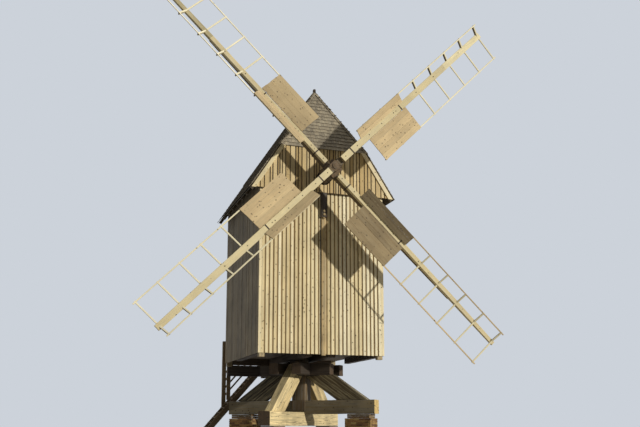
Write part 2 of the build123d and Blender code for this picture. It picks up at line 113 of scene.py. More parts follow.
world = bpy.data.worlds.new("Studio")
world.use_nodes = True
sky = world.node_tree
sky.nodes.clear()
rays = add(sky, "LightPath")
seen = rays.outputs["Is Camera Ray"]
for kind in ("Is Glossy Ray", "Is Transmission Ray"):
    seen = add(sky, "Math", {0: seen, 1: rays.outputs[kind]}, operation="MAXIMUM")
fill = add(sky, "Background", {"Color": linear("#f1f3f7"), "Strength": 0.135})
backdrop = add(sky, "Background", {"Color": linear("#ccd2da"), "Strength": 1.0})
add(sky, "OutputWorld", {"Surface": add(sky, "MixShader", {0: seen, 1: fill, 2: backdrop})})
bpy.context.scene.world = world

floor_radius, rim_points = 75.0, 96
angles = np.linspace(0, 2 * pi, rim_points + 1)[:-1]
rim = np.stack([np.cos(angles), np.sin(angles), 0 * angles], axis=1) * floor_radius
stage_mesh = bpy.data.meshes.new("studio_floor")
stage_mesh.from_pydata(rim.tolist(), [], [list(range(rim_points))])
stage_material, tree, paper = new_material("Matt pale paper")
rays = add(tree, "LightPath")
seen = add(tree, "Math", {0: rays.outputs["Is Camera Ray"], 1: rays.outputs["Is Glossy Ray"]},
           operation="MAXIMUM")
tone = add(tree, "Mix", {0: seen, 6: linear("#8b8a87"), 7: linear("#f0f2f4")}, data_type="RGBA")
plug(tree, paper, {"Base Color": tone, "Roughness": 0.9})
stage_mesh.materials.append(stage_material)
new_object("studio_floor", stage_mesh)


# Piers: four of brick, laid in courses with lime mortar and set back a little between the bricks.
# The bricks are 240 by 71 mm with 10 mm joints, and their long sides point along the cross-trees.
def both_ends(value):
    """A tuple is the (start, end) of what changes along a piece; anything else counts for both."""
    return value if isinstance(value, tuple) else (value, value)


def ring_faces(here, after):
    """Four corners of every face between rings of points, where after is here moved on by one point."""
    return np.stack([here[:, :-1], after[:, :-1], after[:, 1:], here[:, 1:]], axis=3)


def timbers(start, end, across, width, depth, ease=0.004, facets=1, stations=2, cuts=(), trim=None, hew=0.0,
            tags=None, tone=(0.0, 1.0), seed=1):
    """Straight pieces: a rectangle with eased corners, carried along a line, whole arrays at once.

    A profile point is (+-width / 2, +-depth / 2) moved round a small arc inside its corner. Its own line runs
    from the start's point to the end's, so a taper is a straight line too. cuts are planes (normal, level) and
    a line is kept where normal . point <= level, which gives mitred ends. hew moves the points inwards by slow
    waves, as an adze leaves them.
    """
    rng = np.random.default_rng(seed)
    start, end = np.broadcast_arrays(*(np.atleast_2d(np.asarray(v, float)) for v in (start, end)))
    width, depth = both_ends(width), both_ends(depth)
    length = np.linalg.norm(end - start, axis=1)
    across = np.broadcast_to(np.asarray(across, float), start.shape)
    up = np.cross((end - start) / length[:, None], across)
    corner = np.array([[1, 1], [-1, 1], [-1, -1], [1, -1]])[:, None]
    turns = (np.arange(4)[:, None] + np.linspace(0, 1, facets + 1)) * pi / 2
    inside = ease * (np.stack([np.cos(turns), np.sin(turns)], axis=2) - corner).reshape(-1, 2)
    corner = np.repeat(corner, facets + 1, axis=1).reshape(-1, 2)
    lines = []
    for base, *size in zip((start, end), width, depth):
        x, y = (corner[:, i] * np.broadcast_to(size[i], len(start))[:, None] / 2 + inside[:, i] for i in (0, 1))
        lines.append(base[:, None] + across[:, None] * x[..., None] + up[:, None] * y[..., None])
    first, last = lines
    low, high = np.zeros(first.shape[:2]), np.ones(first.shape[:2])
    for normal, level in cuts:
        before = first @ np.asarray(normal, float)
        change = last @ np.asarray(normal, float) - before
        at = (level - before) / np.where(abs(change) < 1e-9, 1e-9, change)
        high = np.where(change > 1e-9, np.minimum(high, at), high)
        low = np.where(change < -1e-9, np.maximum(low, at), low)
        high = np.where((abs(change) <= 1e-9) & (before > level), low, high)
    if trim:
        low, high = trim(first, last, low, high)
    tags = rng.uniform(*tone, len(start)) if tags is None else np.broadcast_to(tags, len(start))
    kept = ((high - low) * length[:, None]).max(axis=1) > 0.015
    first, last, low, high, length, tags, across, up = (
        v[kept] for v in (first, last, low, high, length, tags, across, up))
    count, points = len(first), len(corner)
    high = np.maximum(high, low + 2e-4)
    place = low[:, None] + (high - low)[:, None] * np.linspace(0, 1, stations)[None, :, None]
    mesh_points = first[:, None] + (last - first)[:, None] * place[..., None]
    run = place * length[:, None, None]
    if hew:
        phase = rng.uniform(0, 2 * pi, (3, count, 1, points))
        wave = sum(np.sin(run * 2 * pi / size + phase[i]) for i, size in enumerate((0.83, 0.37, 1.9))) / 6 + 0.5
        inward = -(across[:, None, None] * corner[:, :1] + up[:, None, None] * corner[:, 1:])
        mesh_points = mesh_points + inward * (hew * wave)[..., None]
    profile = corner / 2 * [np.max(width[0]), np.max(depth[0])] + inside
    around = np.append(0, np.cumsum(np.linalg.norm(np.roll(profile, -1, axis=0) - profile, axis=1)))
    index = np.arange(count * stations * points).reshape(count, stations, points)
    quads = ring_faces(index, np.roll(index, -1, axis=2)).reshape(-1, 4)
    uv = ring_faces(*(np.stack(np.broadcast_arrays(u, v), -1) for u, v in
                      ((around[:-1], run), (around[1:], np.roll(run, -1, axis=2))))).reshape(-1, 4, 2)
    caps = np.concatenate([index[:, -1], index[:, 0, ::-1]])
    cap_uv = np.concatenate([np.broadcast_to(p, (count, points, 2)) for p in (profile, profile[::-1])])
    return mesh_points.reshape(-1, 3), [(quads, uv, np.repeat(tags, (stations - 1) * points), 0.0),
                                        (caps, cap_uv, np.tile(tags, 2), 1.0)]


def make_piece(name, parts, material, slot, body, *replaced, eased=0.0):
    """Joins parts into one mesh, with its sharp edges eased by a live bevel of one face.

    UV map Grain is (across, along) in metres, Board is (board's own number, whether it is a sawn end).
    """
    points = np.concatenate([part[0] for part in parts])
    shift = np.cumsum([0] + [len(part[0]) for part in parts])
    groups = [(faces + first, *rest) for part, first in zip(parts, shift) for faces, *rest in part[1]]
    corners = np.concatenate([group[0].ravel() for group in groups])
    sizes = np.concatenate([np.full(len(group[0]), group[0].shape[1]) for group in groups])
    mesh = bpy.data.meshes.new(name)
    mesh.vertices.add(len(points))
    mesh.vertices.foreach_set("co", points.ravel())
    mesh.loops.add(len(corners))
    mesh.loops.foreach_set("vertex_index", corners)
    mesh.polygons.add(len(sizes))
    mesh.polygons.foreach_set("loop_start", np.cumsum(sizes) - sizes)
    mesh.update(calc_edges=True)
    boards = [np.broadcast_to(np.stack(np.broadcast_arrays(np.atleast_1d(tag), end), -1)[:, None], uv.shape)
              for _, uv, tag, end in groups]
    for title, values in (("Grain", [group[1] for group in groups]), ("Board", boards)):
        layer = mesh.uv_layers.new(name=title)
        layer.data.foreach_set("uv", np.concatenate([value.reshape(-1, 2) for value in values]).ravel())
    mesh.polygons.foreach_set("use_smooth", np.ones(len(sizes), bool))
    mesh.set_sharp_from_angle(angle=radians(35))
    mesh.materials.append(material)
    piece = new_object(name, mesh)
    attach(piece, body)
    if replaced:
        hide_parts(*replaced)
    if eased:
        bevel = piece.modifiers.new("Eased edges", "BEVEL")
        bevel.width = eased
        bevel.segments = 1
        bevel.limit_method = "ANGLE"
        bevel.angle_limit = radians(40)


def masonry(name, shades, pit):
    """Fired clay or lime: each brick has its own shade, with soot, lime bloom and a pitted face."""
    material, tree, shader = new_material(name)
    board = add(tree, "SeparateXYZ", {0: add(tree, "UVMap", uv_map="Board")})
    place = add(tree, "TexCoord").outputs["Object"]
    ramp = add(tree, "ValToRGB", {0: board}, ramp=list(zip(np.linspace(0, 1, len(shades)), shades)))
    blotch, bloom, pits = (
        add(tree, "TexNoise", {"Vector": place, "Scale": scale, "Detail": detail, "Roughness": rough})
        for scale, detail, rough in ((5.0, 5.0, 0.65), (2.1, 6.0, 0.7), (55.0, 4.0, 0.7)))
    soot = add(tree, "MapRange", {0: blotch, 1: 0.35, 2: 0.7, 3: 0.62, 4: 1.12})
    colour = add(tree, "Mix", {0: 1.0, 6: ramp, 7: soot}, data_type="RGBA", blend_type="MULTIPLY")
    lime = add(tree, "MapRange", {0: bloom, 1: 0.56, 2: 0.74, 3: 0.0, 4: 0.3})
    colour = add(tree, "Mix", {0: lime, 6: colour, 7: linear("#a28f66")}, data_type="RGBA")
    plug(tree, shader, {"Base Color": colour, "Roughness": add(tree, "MapRange", {0: pits, 3: 0.82, 4: 0.98}),
                        "Normal": add(tree, "Bump", {"Strength": 0.6, "Distance": pit, "Height": pits})})
    return material


post_y = 0.3281
trestle_turn = radians(-42.5)
lower_top, upper_top, cross_deep, shim_high = 1.680, 2.180, 0.590, 0.090
pier_r, pier_half_long, pier_half_wide = 2.765, 0.575, 0.430
brick_pitch, course_pitch, joint, brick_deep, mortar_back = 0.250, 0.081, 0.010, 0.112, 0.014


def arm(index):
    """Level directions along one arm of the trestle and across it."""
    angle = trestle_turn + index * pi / 2
    return np.array([cos(angle), sin(angle), 0.0]), np.array([-sin(angle), cos(angle), 0.0])


centre = np.array([0.0, post_y, 0.0])
up_z = np.array([0.0, 0.0, 1.0])
rng = np.random.default_rng(11)
rows, cores = [], []
for index in range(4):
    high = (upper_top, lower_top)[index % 2] - cross_deep - 2 * shim_high
    courses = round(high / course_pitch)
    course = high / courses
    u, v = arm(index)
    middle = centre + u * pier_r
    cores.append(timbers(middle, middle + up_z * (high - 0.004), u, 2 * (pier_half_long - mortar_back),
                         2 * (pier_half_wide - mortar_back), ease=0.01, tags=0.9))
    for level in range(courses):
        for side, (along, out) in enumerate(((u, v), (v, -u), (-u, -v), (-v, u))):
            half, reach = ((pier_half_long, pier_half_wide), (pier_half_wide, pier_half_long))[side % 2]
            if (level + side) % 2:
                half -= brick_deep + joint
            edges = np.arange(-half, half - 0.06, brick_pitch) + (brick_pitch / 2 if level // 2 % 2 else 0.0)
            edges = np.concatenate([[-half], edges[edges > -half + 0.06], [half]])
            count = len(edges) - 1
            base = middle + out * (reach - brick_deep / 2) + up_z * (course * (level + 0.5))
            jog = out * rng.uniform(-0.007, 0.0, (count, 1))
            rows.append((base + along * (edges[:-1, None] + joint / 2) + jog,
                         base + along * (edges[1:, None] - joint / 2) + jog,
                         np.broadcast_to(out, (count, 3)), np.full(count, course - joint)))
starts, ends, outs, heights = (np.concatenate(column) for column in zip(*rows))
bricks = timbers(starts, ends, outs, brick_deep, heights, ease=0.007, seed=12)
# Hand-moulded brick: reddish brown, with some burnt dark and some pale with lime.
brick = masonry("Hand-moulded brick", ["#5c4024", "#7b5931", "#8d693b", "#997842", "#a48c58"], 0.006)
# Lime mortar: pale and sandy, rubbed back behind the bricks' faces.
mortar = masonry("Lime mortar", ["#6f6040", "#81714d"], 0.004)
make_piece("pier_bricks", [bricks], brick, "masonry", "trestle", "piers")
make_piece("pier_mortar", cores, mortar, "masonry", "trestle")


# Trestle: plates on the piers, two crossed oak beams, the post, the four pairs of quarter bars and the saddle.
# All are oak hewn with an adze, with long drying checks; bars and cross-trees carry painted light and shade.
def wood(name, shades, end_shade, bleach="#8f8a7c", bleached=0.2, checks=0.5, knots=0.35, streak=0.3, patch=0.3,
         run=None):
    """Timber with its grain along the board.

    Fibres are noise 6 mm wide and 350 mm long, streaks 55 mm by 1.6 m, checks 20 mm by 0.7 m where noise
    passes a threshold, and knots 30 mm across in some of the cells of 130 by 170 mm, drawn large so that they
    show. The board's number shifts them and picks its shade and its share of knots. A sawn end has rings 14 mm
    apart round the heart and cracks where noise along the angle passes a threshold. On a CAD node the grain
    follows run.
    """
    material, tree, shader = new_material(name)
    where = add(tree, "TexCoord").outputs["Object"]
    if run is None:
        board = add(tree, "SeparateXYZ", {0: add(tree, "UVMap", uv_map="Board")})
        number, end = board.outputs[0], board.outputs[1]
        face = add(tree, "UVMap", uv_map="Grain")
        place = add(tree, "VectorMath", {0: number, 1: (37.1, 91.7, 13.3), 2: face}, operation="MULTIPLY_ADD")
    else:
        axes = add(tree, "SeparateXYZ", {0: where})
        order = {"X": (1, 0, 2), "Y": (0, 1, 2)}[run]
        place = add(tree, "CombineXYZ", {i: axes.outputs[order[i]] for i in range(3)})
        number, end = add(tree, "TexNoise", {"Vector": where, "Scale": 0.4, "Detail": 0.0}).outputs[0], None
    sized = [add(tree, "VectorMath", {0: place, 1: size}, operation="MULTIPLY")
             for size in ((160.0, 2.8, 160.0), (18.0, 0.62, 18.0), (50.0, 1.4, 50.0), (7.5, 6.0, 7.5))]
    fibres, streaks, splits, broad = (
        add(tree, "TexNoise", {"Vector": vector, "Scale": scale, "Detail": detail, "Roughness": rough})
        for vector, scale, detail, rough in ((sized[0], 1.0, 4.0, 0.7), (sized[1], 1.0, 4.0, 0.6),
                                             (sized[2], 1.0, 2.0, 0.5), (where, 0.8, 5.0, 0.6)))
    colour = add(tree, "ValToRGB", {0: number}, ramp=list(zip(np.linspace(0, 1, len(shades)), shades)))
    for noise, low, high, amount in ((fibres, 0.3, 0.7, 0.14), (streaks, 0.35, 0.65, streak),
                                     (broad, 0.36, 0.64, patch)):
        shade = add(tree, "MapRange", {0: noise, 1: low, 2: high, 3: 1 - amount, 4: 1 + amount / 2})
        colour = add(tree, "Mix", {0: 1.0, 6: colour, 7: shade}, data_type="RGBA", blend_type="MULTIPLY")
    weather = add(tree, "MapRange", {0: streaks, 1: 0.6, 2: 0.42, 3: 0.0, 4: bleached * 2})
    weather = add(tree, "Math", {0: weather, 1: broad}, operation="MULTIPLY")
    knot = add(tree, "TexVoronoi", {"Vector": sized[3], "Scale": 1.0, "Randomness": 0.9})
    picked = add(tree, "SeparateColor", {0: knot.outputs["Color"]})
    knotty = add(tree, "TexWhiteNoise", {"W": number}, noise_dimensions="1D")
    share = add(tree, "Math", {0: knotty.outputs["Value"], 1: 2 * knots}, operation="MULTIPLY")
    some = add(tree, "Math", {0: picked, 1: share}, operation="LESS_THAN")
    spot = add(tree, "MapRange", {0: knot.outputs["Distance"], 1: 0.22, 2: 0.13, 3: 0.0, 4: 0.85})
    spot = add(tree, "Math", {0: spot, 1: some}, operation="MULTIPLY")
    split = add(tree, "MapRange", {0: splits, 1: 0.31 + 0.07 * checks, 2: 0.25 + 0.05 * checks, 3: 0.0, 4: 1.0})
    dark = add(tree, "Math", {0: split, 1: checks}, operation="MULTIPLY")
    for share, code in ((weather, bleach), (spot, "#2e2117"), (dark, "#17110c")):
        colour = add(tree, "Mix", {0: share, 6: colour, 7: linear(code)}, data_type="RGBA")
    if end is not None:
        away = add(tree, "VectorMath", {0: face}, operation="LENGTH").outputs["Value"]
        shaken = add(tree, "TexNoise", {"Vector": face, "Scale": 9.0, "Detail": 2.0})
        rings = add(tree, "Math", {0: away, 1: 450.0}, operation="MULTIPLY")
        rings = add(tree, "Math", {0: shaken, 1: 22.0, 2: rings}, operation="MULTIPLY_ADD")
        rings = add(tree, "Math", {0: rings}, operation="SINE")
        rings = add(tree, "MapRange", {0: rings, 1: -1.0, 3: 0.78, 4: 1.12})
        turn = add(tree, "TexGradient", {"Vector": face}, gradient_type="RADIAL").outputs["Fac"]
        turn = add(tree, "Math", {0: turn, 1: 34.0, 2: number}, operation="MULTIPLY_ADD")
        shake = add(tree, "TexNoise", {"W": turn, "Scale": 1.0, "Detail": 1.0}, noise_dimensions="1D")
        shake = add(tree, "MapRange", {0: shake, 1: 0.36, 2: 0.29, 3: 0.0, 4: 0.9})
        sawn = add(tree, "Mix", {0: 1.0, 6: linear(end_shade), 7: rings}, data_type="RGBA",
                   blend_type="MULTIPLY")
        sawn = add(tree, "Mix", {0: shake, 6: sawn, 7: linear("#1d150e")}, data_type="RGBA")
        colour = add(tree, "Mix", {0: end, 6: colour, 7: sawn}, data_type="RGBA")
    relief = add(tree, "Math", {0: fibres, 1: 0.35, 2: splits}, operation="MULTIPLY_ADD")
    rough = add(tree, "MapRange", {0: streaks, 1: 0.3, 2: 0.7, 3: 0.72, 4: 0.92})
    plug(tree, shader, {"Base Color": colour, "Roughness": rough,
                        "Normal": add(tree, "Bump", {"Strength": 0.5, "Distance": 0.006, "Height": relief})})
    return material


def outline(points, origin, right, up, thick, grain, tag=0.5):
    """A flat outline, counter-clockwise as (right, up), made thick both ways; grain is its fibres' angle."""
    points, right, up = (np.asarray(v, float) for v in (points, right, up))
    out = np.cross(right, up)
    flat = np.asarray(origin, float) + points[:, :1] * right + points[:, 1:] * up
    index = np.arange(len(points))
    after = np.roll(index, -1)
    quads = np.stack([index, after, after + len(points), index + len(points)], axis=1)
    grained = np.stack([points[:, 0] * sin(grain) - points[:, 1] * cos(grain),
                        points[:, 0] * cos(grain) + points[:, 1] * sin(grain)], axis=1)
    rim = grained + [thick, 0]
    uv = np.stack([grained[index], grained[after], rim[after], rim[index]], axis=1)
    caps = np.stack([index + len(points), index[::-1]])
    return np.concatenate([flat - out * thick / 2, flat + out * thick / 2]), [
        (quads, uv, tag, 0.0), (caps, np.stack([grained, grained[::-1]]), tag, 0.0)]


def turned(bases, axis, side, profile, sides=8, tag=0.5):
    """Turned shapes: a profile of (radius, along) pairs swept round the axis at each base and closed flat."""
    bases, axis, side = (np.atleast_2d(np.asarray(v, float)) for v in (bases, axis, side))
    angle = np.arange(sides) * 2 * pi / sides
    flat = np.stack([np.cos(angle), np.sin(angle)], 1)
    ring = flat[:, :1] * side + flat[:, 1:] * np.cross(axis, side)
    radius, along = np.asarray(profile, float).T
    count, rows = len(bases), len(radius)
    grid = bases[:, None, None] + ring * radius[None, :, None, None] + axis * along[None, :, None, None]
    index = np.arange(count * rows * sides).reshape(count, rows, sides)
    quads = ring_faces(index, np.roll(index, -1, axis=2)).reshape(-1, 4)
    left = np.stack(np.meshgrid(angle * radius.max(), along), -1)[None].repeat(count, axis=0)
    uv = ring_faces(left, left + [angle[1] * radius.max(), 0]).reshape(-1, 4, 2)
    caps = np.concatenate([index[:, -1], index[:, 0, ::-1]])
    cap_uv = np.concatenate([np.broadcast_to(f, (count, sides, 2))
                             for f in (flat * radius[-1], flat[::-1] * radius[0])])
    return grid.reshape(-1, 3), [(quads, uv, tag, 0.0), (caps, cap_uv, tag, 1.0)]


def centred(middle, reach, *rest, **more):
    """Timbers that reach as far from their middle one way as the other."""
    return timbers(middle - reach, middle + reach, *rest, **more)


# Hewn oak: dark brown heart with black checks; the sun has bleached it where it is hit.
hewn_oak = wood("Hewn oak, tarred", ["#564425", "#685230", "#7a653b"], "#6a5335", bleached=0.3, checks=0.75,
                streak=0.35, patch=0.35)
# Oak painted nearly black; under and behind the body, and beside the cover board, this is painted shade.
black_oak = wood("Hewn oak, painted near black", ["#271d12", "#332718", "#403221"], "#4a3924", "#574a36",
                 checks=0.8)
# Oak of the bars and lower cross-tree: pale as painted light where lit, near black as painted shade where not.
lit_and_shaded_oak = wood("Hewn oak, painted light and shade", ["#281f10", "#98804f", "#cab380", "#dbc796"], "#4d3c27", "#dfcf9f",
                bleached=0.25, checks=1.0, knots=0.15, streak=0.45)
# The upper cross-tree: long sides greyer and darker as painted shade, ends pale as painted light.
shaded_oak_lit_ends = wood("Hewn oak, painted shade, lit ends", ["#685b40", "#786a4c", "#887958"], "#c9ad70", bleached=0.3, checks=0.7)
cross_half, cross_wide = 3.460, 0.540
post_square, post_round, saddle_low, saddle_top, post_top = 0.640, 0.300, 3.230, 3.700, 7.300

plates, beams, bars, inner_bars, pegs, saddle_parts = [], [], [], [], [], []
for index in range(4):
    top = (upper_top, lower_top)[index % 2]
    u, v = arm(index)
    for layer, (axis, cross, long, wide) in enumerate(((u, v, 0.990, 0.345), (v, u, 0.700, 0.490))):
        for half in (-1, 1):
            middle = centre + u * pier_r + cross * half * (wide / 2 + 0.003) + up_z * (
                top - cross_deep - shim_high * (layer + 0.5))
            plates.append(centred(middle, axis * long / 2, cross, wide, shim_high - 0.002, ease=0.008,
                                  stations=8, hew=0.006, seed=20 + 4 * index + 2 * layer + half))
# The tags pick each beam's shade; the lower beam's high tag is painted light.
for index, top in ((0, upper_top), (1, lower_top)):
    u, v = arm(index)
    beams.append(centred(centre + up_z * (top - cross_deep / 2), u * cross_half, v, cross_wide, cross_deep,
                         ease=0.03, facets=2, stations=40, hew=0.014, seed=30 + index, tags=0.5 + 0.4 * index))
make_piece("pier_plates_hewn", plates, hewn_oak, "old_oak", "trestle", "pier_plates")
make_piece("cross_tree_upper", beams[:1], shaded_oak_lit_ends, "old_oak", "trestle", "upper_cross_tree")
make_piece("cross_tree_lower", beams[1:], lit_and_shaded_oak, "old_oak", "trestle", "lower_cross_tree")

u, v = arm(0)
horn_thick, horn_deep = 0.045, 0.430
trunk = [timbers(centre + up_z * upper_top, centre + up_z * saddle_top, u, post_square, post_square, ease=0.035,
                 facets=2, stations=14, hew=0.010, seed=41, tags=0.3),
         timbers(centre + up_z * saddle_top, centre + up_z * post_top, u, 2 * post_round, 2 * post_round,
                 ease=post_round, facets=8, stations=20, hew=0.004, seed=42, tags=0.3)]
for side in (-1, 1):
    face = centre + v * side * (cross_wide + horn_thick) / 2
    trunk.append(timbers(face + up_z * (upper_top - horn_deep), face + up_z * (upper_top + 0.002), u,
                         post_square - 0.02, horn_thick, ease=0.006, stations=6, hew=0.003, seed=43, tags=0.35))
make_piece("post", trunk, hewn_oak, "old_oak", "trestle", "main_post")

bar_wide, bar_deep, bar_foot, bar_head = 0.340, 0.400, 3.120, 0.920
post_half = post_square / 2
stop = post_half + 0.420
peg = [(0.024, -0.02), (0.024, 0.008), (0.017, 0.013)]
for index in range(4):
    foot_z = (upper_top, lower_top)[index % 2]
    u, v = arm(index)
    rise = (saddle_top - foot_z) / (bar_foot - bar_head)
    level = bar_deep * hypot(1, rise) / rise
    mid = bar_foot - level
    low = mid - level
    outer = [(bar_foot, foot_z), (bar_head, saddle_top), (stop, saddle_top),
             (stop, foot_z + rise * (mid - stop)), (mid, foot_z)]
    inner = [(mid, foot_z), (mid - (saddle_low - foot_z) / rise, saddle_low), (post_half, saddle_low),
             (post_half, foot_z + rise * (low - post_half)), (low, foot_z)]
    lean = atan2(rise, -1)
    # Each bar's tag is painted light or shade: high for the bars that lay in light, low for those in shade.
    painted_light_tone = (0.04, 0.70, 0.00, 0.90)[index]
    bars.append(outline(outer, centre, u, up_z, bar_wide, lean, painted_light_tone))
    inner_bars.append(outline(inner, centre, u, up_z, bar_wide, lean, painted_light_tone * 0.8))
    head = saddle_top - foot_z
    peg_at = np.array([(bar_foot - 0.50, 0.16), (bar_foot - 0.78, 0.36), (stop + 0.34, head - 0.62),
                       (stop + 0.62, head - 0.82)])
    bases = centre + u * peg_at[:, :1] + up_z * (foot_z + peg_at[:, 1:])
    for out in (-v, v):
        pegs.append(turned(bases + out * bar_wide / 2, out, up_z, peg, tag=0.3))
make_piece("quarter_bars_outer", bars, lit_and_shaded_oak, "old_oak", "trestle", "outer_quarter_bars", eased=0.018)
make_piece("quarter_bars_inner", inner_bars, lit_and_shaded_oak, "old_oak", "trestle", "inner_quarter_bars", eased=0.018)
make_piece("trestle_pegs", pegs, hewn_oak, "old_oak", "trestle")

# The saddle is near black: painted shade under the body.
saddle_beam, saddle_half, saddle_deep = 0.420, 1.650, saddle_top - saddle_low
saddle_y = (post_square + saddle_beam) / 2
past = saddle_y + saddle_beam / 2
u, v = arm(0)
for side in (-1, 1):
    middle = centre + v * side * saddle_y + up_z * (saddle_low + saddle_top) / 2
    saddle_parts.append(centred(middle, u * saddle_half, v, saddle_beam, saddle_deep, ease=0.025, stations=16,
                                hew=0.010, seed=50 + side))
    middle = centre + u * side * saddle_y + up_z * (saddle_low + saddle_top) / 2
    for a, b in ((-saddle_half, -past), (-post_half, post_half), (past, saddle_half)):
        saddle_parts.append(timbers(middle + v * a, middle + v * b, u, saddle_beam, saddle_deep, ease=0.025,
                                    stations=6, hew=0.008, seed=55 + side, tags=0.4))
make_piece("saddle_beams", saddle_parts, black_oak, "old_oak", "trestle", "saddle")


# The buck's frame: two sheers and the sills carry the floor, corner posts come down past the boards.
# Old hewn oak below, and inside it pit-sawn boards with gaps; what nobody sees stays as the frame has it.
body_front, body_rear, body_half, board_thick = -2.5419, 3.6081, 2.700, 0.050
inner_front, inner_rear, inner_half = body_front + board_thick, body_rear - board_thick, body_half - board_thick
hem, jetty, floor_low, floor_top, sheer_low, sheer_mid = 3.950, 10.680, 4.170, 4.230, 3.870, 4.020
post_size, plate_size, landing_deep, sill_end = 0.240, 0.200, 1.150, 1.4781
eave_z, eave_half, ridge_z, roof_thick = 10.640, 3.210, 15.630, 0.090
pitch = (ridge_z - eave_z) / eave_half
slope = atan2(ridge_z - eave_z, eave_half)
roof_flat = roof_thick / sin(slope)
x_axis, y_axis = np.array([1.0, 0, 0]), np.array([0, 1.0, 0])


def span(x, y, z, *rest, **more):
    """Timbers along the mill's axes: a tuple is where they start and end, anything else where they lie."""
    return timbers(*(np.stack(np.broadcast_arrays(*map(np.atleast_1d, place)), 1)
                     for place in zip(*map(both_ends, (x, y, z)))), *rest, **more)


# The sheers and the sills are near black: painted shade under the body.
sheer_parts = [span(x, (inner_front + post_size, body_rear + landing_deep), sheer_mid, x_axis, 0.30, 0.30,
                    ease=0.02, stations=24, hew=0.008, seed=60 + i) for i, x in enumerate((-0.50, 0.50))]
make_piece("sheer_beams", sheer_parts, black_oak, "old_oak", "buck", "sheers")
plate_top = ridge_z - (inner_half + roof_flat) * pitch
corner_xs = (-inner_half + post_size / 2, inner_half - post_size / 2)
corner_ys = (inner_front + post_size / 2, inner_rear - post_size / 2)
corner_parts = [span(x, y, (hem - 0.15, plate_top - plate_size), x_axis, post_size, post_size, ease=0.015,
                     stations=20, hew=0.006, seed=64 + 2 * i + j)
                for i, x in enumerate(corner_xs) for j, y in enumerate(corner_ys)]
# Sawn oak of the corner posts, whose feet the sun has bleached below the boards.
frame_oak = wood("Sawn oak, weathered", ["#8f7d5a", "#a39069", "#b8a47a"], "#a08b60", bleached=0.35)
make_piece("corner_post_timbers", corner_parts, frame_oak, "frame_timber", "buck", "corner_posts")
sill_parts = [span(x, (inner_front + post_size, sill_end), (hem - 0.05 + floor_low) / 2, x_axis, post_size,
                   floor_low - hem + 0.05, ease=0.012, stations=14, hew=0.006, seed=70) for x in corner_xs]
sill_parts += [span(ends, corner_ys[1], sheer_mid, y_axis, post_size, 0.30, ease=0.012, stations=8, hew=0.005,
                    seed=72) for ends in ((-2.41, -0.65), (-0.35, 0.35), (0.65, 2.41))]
make_piece("sill_timbers", sill_parts, black_oak, "old_oak", "buck", "sills")

hole = 0.36
edges = np.append(np.arange(inner_front, inner_rear - 0.1, 0.232), inner_rear)
floor_parts = []
for i, (a, b) in enumerate(zip(edges[:-1], edges[1:])):
    boards = [(-inner_half, inner_half)]
    if b > post_y - hole and a < post_y + hole:
        boards = [(-inner_half, -hole), (hole, inner_half)]
    if a < inner_front + post_size or b > inner_rear - post_size:
        boards = [(-inner_half + post_size, inner_half - post_size)]
    floor_parts += [span(ends, (a + b) / 2, (floor_low + floor_top) / 2, y_axis, b - a - 0.006,
                         floor_top - floor_low - 0.004, seed=80 + i) for ends in boards]
# Pit-sawn floor boards: their own brown, painted darker as shade, seen only from below in the body's shadow.
floor_boards = wood("Pit-sawn floor boards", ["#3d3021", "#4b3c29", "#594832"], "#4d3e2a", bleached=0.1)
make_piece("floor_planks", floor_parts, floor_boards, "frame_timber", "buck", "floor")
# Hewn oak of the beams inside, plain brown; these keep the frame's own shapes.
hidden_oak = {axis: wood("Hewn oak inside, along " + axis, ["#5b4830", "#6f5a3d", "#7d6747"], "#5b4830",
                         run=axis) for axis in ("X", "Y")}
for title, axis in (("crown_tree", "X"), ("side_girts", "Y"), ("wall_plates", "Y"), ("weather_beam", "X"),
                    ("tail_beam", "X"), ("jetty_beam", "X")):
    for slot in nodes[title].material_slots:
        slot.material = hidden_oak[axis]


# Walls: boards nailed upright to the frame. The front has pale boards with narrower ones nailed over the
# joints, the sides and the rear have plain dark boards, edge to edge, with gaps opened by drying.
front_boards = 31
period = 2 * body_half / front_boards
proud, recess = 0.026, 0.024
gable_front = -2.6969


def under_slopes(drop):
    """Planes of the roof's two long sides, lowered by the drop."""
    return [((side * pitch, 0, 1), ridge_z - drop) for side in (-1, 1)]


def boarding(front, low, high, half, middles, widths, cuts, seed, **more):
    """Recessed boards that fill the wall, and proud ones of the given middles and widths over their joints."""
    rng = np.random.default_rng(seed)
    count = round(2 * half / period)
    behind = (np.arange(count) - (count - 1) / 2) * period
    back = span(behind, front + proud + recess / 2, (low + rng.uniform(-0.004, 0.006, count), high), x_axis,
                period - 0.003, recess - 0.001, cuts=cuts, seed=seed, **more)
    face = span(middles, front + proud / 2, (low + rng.uniform(-0.008, 0.006, len(middles)), high), x_axis,
                widths, proud, cuts=cuts, seed=seed + 1, ease=0.007, **more)
    return back, face


def plain_edges(low, high, seed, narrow=0.16, wide=0.25):
    """Edges of boards of uneven width that together fill a wall."""
    rng = np.random.default_rng(seed)
    widths = rng.uniform(narrow, wide, int((high - low) / ((narrow + wide) / 2)))
    return low + np.append(0, np.cumsum(widths)) / widths.sum() * (high - low)


def between(edges):
    """Middles and widths of the boards between the edges."""
    return (edges[1:] + edges[:-1]) / 2, np.diff(edges)


